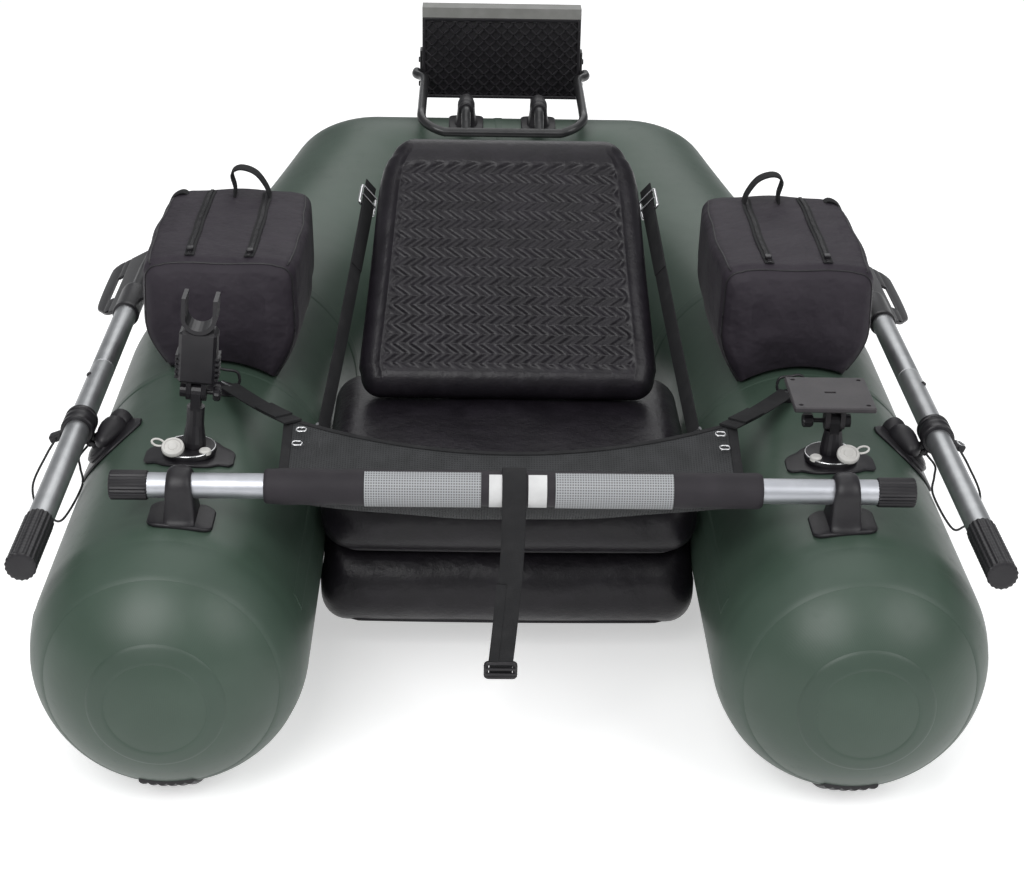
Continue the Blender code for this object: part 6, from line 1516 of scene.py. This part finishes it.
def make_world():
    """The grey world that lights the object; the camera itself sees white in its place."""
    world = bpy.data.worlds.new("studio")
    world.use_nodes = True
    bpy.context.scene.world = world
    tree = world.node_tree
    ground = tree.nodes["Background"]
    white = tree.nodes.new("ShaderNodeBackground")
    for node, colour, strength in ((ground, (0.86, 0.88, 0.90, 1.0), 0.34), (white, (1.0, 1.0, 1.0, 1.0), 1.0)):
        node.inputs["Color"].default_value = colour
        node.inputs["Strength"].default_value = strength
    path = tree.nodes.new("ShaderNodeLightPath")
    choice = tree.nodes.new("ShaderNodeMixShader")
    for index, output in enumerate((path.outputs["Is Camera Ray"], ground.outputs[0], white.outputs[0])):
        tree.links.new(output, choice.inputs[index])
    tree.links.new(choice.outputs[0], tree.nodes["World Output"].inputs[0])


def make_lights():
    """Large soft lamps: one above and ahead, one on the right, one behind and one overhead, each facing its target."""
    for name, place, target, size, power in LAMPS:
        data = bpy.data.lights.new(name, "AREA")
        data.shape = "SQUARE"
        data.size = size
        data.energy = power
        lamp = bpy.data.objects.new(name, data)
        back = unit(np.array(place) - np.array(target))
        right = unit(np.cross((0.0, 1.0, 0.01) if abs(back[2]) > 0.95 else (0, 0, 1), back))
        turn = np.eye(4)
        turn[:3, 0], turn[:3, 1], turn[:3, 2], turn[:3, 3] = right, np.cross(back, right), back, place
        lamp.matrix_world = Matrix(turn.tolist())
        bpy.context.scene.collection.objects.link(lamp)


def main():
    make_camera()
    cord = moulded("cord_black", (0.012, 0.012, 0.013), (0.020, 0.020, 0.021), 0.65, 0.0002, 1500.0)
    make_cords(cord)
    hull = coated_cloth("hull_green", (0.034, 0.056, 0.041), (0.043, 0.068, 0.051), 0.38)
    tape = coated_cloth("hull_tape", (0.033, 0.054, 0.040), (0.040, 0.064, 0.048), 0.42)
    vinyl = grained_vinyl("black_vinyl", (0.0070, 0.0058, 0.0080), (0.0110, 0.0092, 0.0125), 0.27)
    rubber = moulded("black_rubber", (0.008, 0.007, 0.009), (0.014, 0.013, 0.015), 0.40)
    plastic = moulded("black_plastic", (0.008, 0.007, 0.009), (0.014, 0.013, 0.015), 0.34, 0.00006, 900.0)
    grey = moulded("grey_plastic", (0.185, 0.185, 0.175), (0.225, 0.225, 0.215), 0.42)
    dark_grey = moulded("dark_grey_plastic", (0.032, 0.029, 0.032), (0.042, 0.038, 0.041), 0.46)
    white = moulded("white_plastic", (0.50, 0.50, 0.50), (0.57, 0.57, 0.57), 0.42)
    pale = moulded("pale_plastic", (0.47, 0.46, 0.44), (0.55, 0.54, 0.52), 0.40)
    metal = drawn_metal("aluminium", (0.42, 0.43, 0.46), (0.49, 0.50, 0.53), 0.38, (40, 900, 900))
    oar_metal = drawn_metal("oar_aluminium", (0.45, 0.46, 0.47), (0.52, 0.53, 0.54), 0.34, (900, 40, 900))
    dark_metal = moulded("black_metal", (0.013, 0.013, 0.014), (0.020, 0.020, 0.021), 0.30, 0.00008, 1100.0, 0.2)
    chrome = drawn_metal("chrome", (0.62, 0.62, 0.63), (0.70, 0.70, 0.71), 0.16, (300, 300, 300))
    bag = woven_nylon("bag_cloth", (0.016, 0.012, 0.018), (0.024, 0.019, 0.026), 2400, 0.00012, 0.66, 0.0060)
    webbing = ribbed_webbing("webbing", (0.010, 0.010, 0.011), (0.019, 0.019, 0.020))
    net = open_mesh("mesh_cloth", (0.012, 0.013, 0.014), (0.022, 0.023, 0.025), 1900)
    sleeve = woven_nylon("sleeve_cloth", (0.013, 0.011, 0.014), (0.020, 0.017, 0.021), 2800, 0.00012, 0.66, 0.0008)
    grid_cloth = checked("grid_cloth", (0.10, 0.10, 0.105), (0.30, 0.31, 0.32))
    make_hull(hull, tape)
    make_strakes(rubber)
    make_seat(vinyl, webbing)
    make_backrest(vinyl)
    make_back_straps(webbing, chrome)
    make_bar(metal, rubber, sleeve, grid_cloth, white)
    make_apron(net, webbing, chrome)
    make_crotch(webbing, plastic)
    make_bases(plastic, chrome, pale)
    make_oars(oar_metal, rubber, plastic, chrome)
    make_bags(bag, webbing, rubber, plastic)
    make_motor_mount(dark_metal, plastic)
    make_rings(plastic, chrome)
    make_valves(plastic)
    make_holders(rubber)
    dressed(plastic, "rod_holder_post", "rod_holder_cradle", "rod_holder_knob", "plate_post", "plate_knob",
            "oar_button_left", "oar_button_right")
    dressed(grey, "board_cap")
    dressed(dark_grey, "finder_plate")
    dressed(pale, "mount_button_left", "mount_button_right")
    make_stage()
    make_lights()
    make_world()


main()
